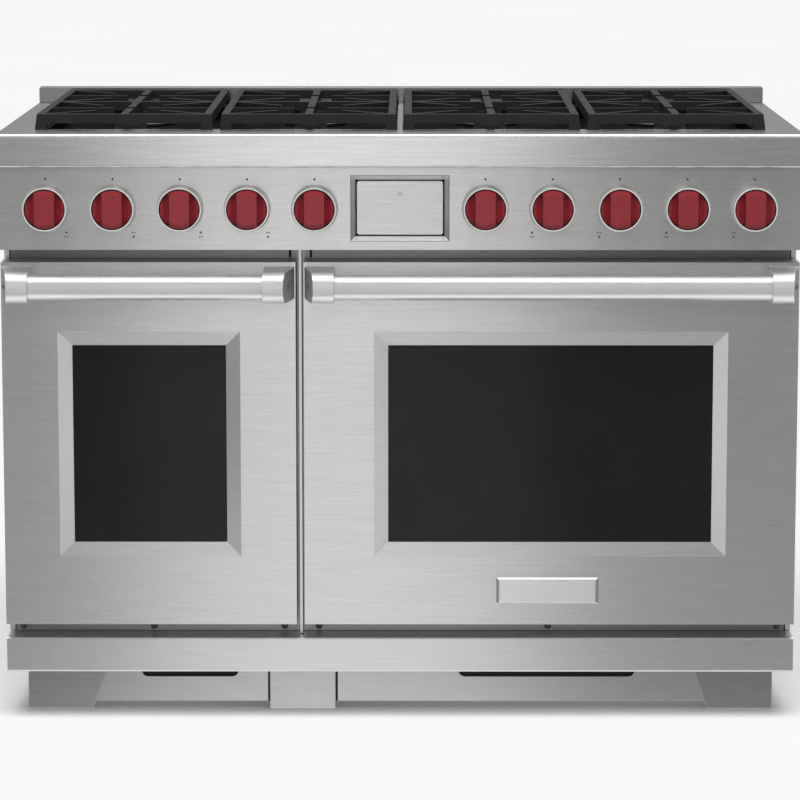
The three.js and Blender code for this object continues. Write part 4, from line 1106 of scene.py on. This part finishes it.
def make_oven_interiors():
    """Fan covers on each oven's back wall, a broiler under its ceiling and a lamp on each side."""
    for side in DOORS:
        width, height, (x, _, z) = oven_mouth(side)
        low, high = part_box("oven_liner_" + side)
        back = high.y - LINER_WALL
        ceiling = z + height / 2
        for i in range(FANS[side]):
            offset = (i - (FANS[side] - 1) / 2) * width * FAN_SPACING
            make_fan_cover(f"oven_fan_{side}_{i + 1}", (x + offset, back, z - FAN_DROP))
        make_broiler(side, width, (x, (low.y + high.y) / 2, ceiling))
        for sign in (-1, 1):
            make_lamp(side, sign, (x + sign * width / 2, back - LAMP_FORWARD, ceiling - LAMP_DROP))


def make_fan_cover(name, at):
    """A raised disc with rings and spokes over the dark fan opening."""
    bm = bmesh.new()
    turned(bm, FAN_PLATE, 64, "Y")
    placed(name + "_plate", mesh_of(bm, name), "range_body", oven_enamel, at)
    bm = bmesh.new()
    for radius in GUARD_RINGS:
        angles = [2 * math.pi * i / 36 for i in range(37)]
        wire(bm, [(radius * math.cos(a), -7 * MM, radius * math.sin(a)) for a in angles], GUARD_WIRE)
    for i in range(GUARD_SPOKES):
        angle = 2 * math.pi * i / GUARD_SPOKES
        ends = [(r * math.cos(angle), -7.5 * MM, r * math.sin(angle)) for r in (12 * MM, 76 * MM)]
        wire(bm, ends, GUARD_WIRE)
    placed(name + "_guard", mesh_of(bm, name), "range_body", chrome, at)


def make_broiler(side, width, top):
    """The folded heating rod under the oven's ceiling, on small hangers."""
    runs, depth, corner = 6, 340 * MM, 14 * MM
    rod, hanger, drop = 3.6 * MM, 1.6 * MM, 22 * MM
    reach = width / 2 - 40 * MM
    pitch = 2 * reach / (runs - 1)
    points = []
    for i in range(runs):
        x = -reach + i * pitch
        ends = (-depth / 2, depth / 2) if i % 2 == 0 else (depth / 2, -depth / 2)
        for place, y in enumerate(ends):
            here = Vector((x, y, 0))
            outer = Vector((x + (pitch if place else -pitch), y, 0))
            inner = Vector((x, 0, 0))
            if (i == 0 and place == 0) or (i == runs - 1 and place == 1):
                points.append(here)
            elif place:
                points += bend(here, inner, outer, corner)
            else:
                points += bend(here, outer, inner, corner)
    bm = bmesh.new()
    wire(bm, points, rod, 12)
    for x in (-reach, reach):
        for y in (-depth / 3, depth / 3):
            wire(bm, [(x, y, 0), (x, y, drop - 0.5 * MM)], hanger)
    at = (top[0], top[1], top[2] - drop)
    placed(f"oven_broiler_{side}", mesh_of(bm, "broiler"), "range_body", element_grey, at)


def make_lamp(side, sign, at):
    """A domed lamp glass on an oven's side wall."""
    name = f"oven_lamp_{side}_" + side_name(sign)
    profile = [(radius, -sign * rise) for radius, rise in LAMP]
    turned_piece(name, profile, 40, "X", at, "range_body", lamp_glass)


# ---------------------------------------------------------------- back and sides

BACK_SCREW = 3.6 * MM
BACK_SCREW_INSET = 14 * MM
BACK_SCREW_ENDS = 180 * MM  # sheet's top and bottom to the ends of the side rows


def screw_line(name, start, end, count):
    """A row of screws in the back sheet."""
    for i in range(count):
        at = Vector(start).lerp(Vector(end), i / (count - 1))
        screw(f"{name}_{i + 1}", at, BACK_SCREW, 1, chrome)


def make_fasteners():
    """Screws round the edge of the back sheet."""
    low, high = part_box("back_panel")
    left, right = low.x + BACK_SCREW_INSET, high.x - BACK_SCREW_INSET
    for name, z in (("low", low.z + BACK_SCREW_INSET), ("high", high.z - BACK_SCREW_INSET)):
        screw_line("back_screw_" + name, (left, high.y, z), (right, high.y, z), 7)
    for name, x in (("left", left), ("right", right)):
        start, end = (x, high.y, low.z + BACK_SCREW_ENDS), (x, high.y, high.z - BACK_SCREW_ENDS)
        screw_line("back_screw_" + name, start, end, 4)


BEAD_WIDTH = 16 * MM
BEAD_PROUD = 2.4 * MM
BEAD_ENDS = 80 * MM  # from each side of the sheet
BEAD_PLACES = (0.2, 0.35, 0.5, 0.65, 0.8)  # shares of the sheet's height


def make_back_beads():
    """Pressed stiffening beads across the back sheet."""
    low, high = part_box("back_panel")
    length = high.x - low.x - 2 * BEAD_ENDS
    outline = rounded_outline(length, BEAD_WIDTH, BEAD_WIDTH / 2 - 0.1 * MM, 8)
    for i, share in enumerate(BEAD_PLACES):
        at = ((low.x + high.x) / 2, high.y, low.z + (high.z - low.z) * share)
        slab(f"back_bead_{i + 1}", outline, -0.5 * MM, BEAD_PROUD, "range_body", zinc, at,
             edge=1.6 * MM)


# ---------------------------------------------------------------- under the body

TOE_SHADE_WIDTH = 3.2 * MM  # width of the painted shade strip between the toe panel and the centre leg


def make_toe_shade_strips():
    """Black strips where the toe panel meets the two sides of the centre leg: painted shade for the leg's
    sides.
    """
    leg_low, leg_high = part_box("leg_centre")
    low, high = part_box("toe_panel")
    height = high.z - low.z
    outline = rounded_outline(TOE_SHADE_WIDTH, height, 0.4 * MM, steps=2)
    for name, edge, sign in (("left", leg_low.x, -1), ("right", leg_high.x, 1)):
        at = (edge + sign * TOE_SHADE_WIDTH / 2, low.y, (low.z + high.z) / 2)
        slab("toe_shade_strip_" + name, outline, -0.4 * MM, 0.3 * MM, "range_body", black_rubber_and_painted_shade, at,
             edge=0.1 * MM)


SLOT_RISE = 60 * MM  # floor to the middle of the air slots in the toe panel
SLOT_HEIGHT = 34 * MM
SLOT_BEHIND = 5 * MM


def make_toe_slot_shades():
    """A black sheet behind each air slot of the toe panel: painted shade for the dark space behind the slot.
    """
    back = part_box("toe_panel")[1].y + SLOT_BEHIND
    centre_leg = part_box("leg_centre")
    spans = {
        "left": (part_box("leg_front_left")[1].x, centre_leg[0].x),
        "right": (centre_leg[1].x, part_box("leg_front_right")[0].x),
    }
    for name, (start, end) in spans.items():
        outline = rounded_outline(end - start - 20 * MM, SLOT_HEIGHT, 4 * MM)
        at = ((start + end) / 2, back, SLOT_RISE)
        slab("toe_slot_shade_" + name, outline, 0, 1.2 * MM, "range_body", black_rubber_and_painted_shade, at,
             edge=0.3 * MM)


make_sheets()
make_knobs()
make_display()
make_handles()
make_door_details()
make_mullion()
make_nameplate()
make_burners()
make_racks()
make_oven_interiors()
make_fasteners()
make_back_beads()
make_toe_shade_strips()
make_toe_slot_shades()


# ---------------------------------------------------------------- floor, light and camera

FLOOR_HALF = 90.0
WORLD_GREY = 0.26
CAMERA_PLACE = (0.0155, -5.8028, 1.3513)
CAMERA_PITCH = 0.1524  # radians below the horizon
CAMERA_YAW = 0.0028
CAMERA_LENS = 164.2


def make_floor():
    bm = bmesh.new()
    bmesh.ops.create_grid(bm, x_segments=8, y_segments=8, size=FLOOR_HALF)
    mesh = bpy.data.meshes.new("studio_floor")
    bm.to_mesh(mesh)
    bm.free()
    floor = bpy.data.objects.new("studio_floor", mesh)
    floor.location.z = -0.0005
    bpy.context.scene.collection.objects.link(floor)
    finish = Finish("pale_floor", Roughness=0.9, Specular_IOR_Level=0.1)
    pale = (0.93, 0.93, 0.93)
    finish.colours(finish.noise(0.6), (0.3, shade(pale, 0.99)), (0.7, shade(pale, 1.01)))
    mesh.materials.append(finish.material)
    floor.visible_glossy = False
    floor.visible_shadow = False


def make_light(name, kind, energy, place, turn=(0, 0, 0), **settings):
    data = bpy.data.lights.new(name, kind)
    data.energy = energy
    for key, value in settings.items():
        setattr(data, key, value)
    light = bpy.data.objects.new(name, data)
    light.location = place
    light.rotation_euler = turn
    light.visible_camera = False
    bpy.context.scene.collection.objects.link(light)
    return light


def make_lights():
    world = bpy.data.worlds.new("studio")
    world.use_nodes = True
    background = world.node_tree.nodes["Background"]
    background.inputs["Color"].default_value = (WORLD_GREY, WORLD_GREY, WORLD_GREY, 1)
    bpy.context.scene.world = world
    above = math.radians(30)  # between the sun's direction and straight down
    sun = make_light("soft_key", "SUN", 2.8, (0, -2, 4), turn=(above, 0, 0), angle=math.radians(40))
    sun.visible_glossy = False
    ahead = (math.pi / 2, 0, 0)
    make_panel("front_strip", (-0.21, -6.0, 0.5), ahead, (1.25, 9.0), 0.80)
    for name, sign in (("left_strip", -1), ("right_strip", 1)):
        make_panel(name, (sign * 3.4, -6.0, 0.5), ahead, (1.8, 9.0), 0.72)
    make_panel("top_panel", (0, 0.4, 4.6), (0, 0, 0), (7.0, 5.2), 2.3)
    make_panel("high_front_panel", (0, -6.0, 3.3), ahead, (4.0, 1.6), 0.5)
    make_panel("below_panel", (0, -0.5, -0.8), (math.pi, 0, 0), (5.0, 1.5), 1.0)
    make_panel("rear_panel", (0, 5.0, 5.0), (-math.pi / 2, 0, 0), (2.2, 3.4), 1.2)


def make_panel(name, place, turn, size, radiance):
    """A large soft light that only shows in reflections."""
    energy = radiance * math.pi * size[0] * size[1]
    panel = make_light(
        name, "AREA", energy, place, turn, shape="RECTANGLE", size=size[0], size_y=size[1],
    )
    panel.visible_diffuse = False
    return panel


def make_camera():
    data = bpy.data.cameras.new("camera")
    data.lens = CAMERA_LENS
    data.clip_end = 500
    camera = bpy.data.objects.new("camera", data)
    camera.location = CAMERA_PLACE
    camera.rotation_euler = (math.pi / 2 - CAMERA_PITCH, 0, CAMERA_YAW)
    bpy.context.scene.collection.objects.link(camera)
    bpy.context.scene.camera = camera


make_floor()
make_lights()
make_camera()
bpy.context.scene.view_settings.view_transform = "Standard"
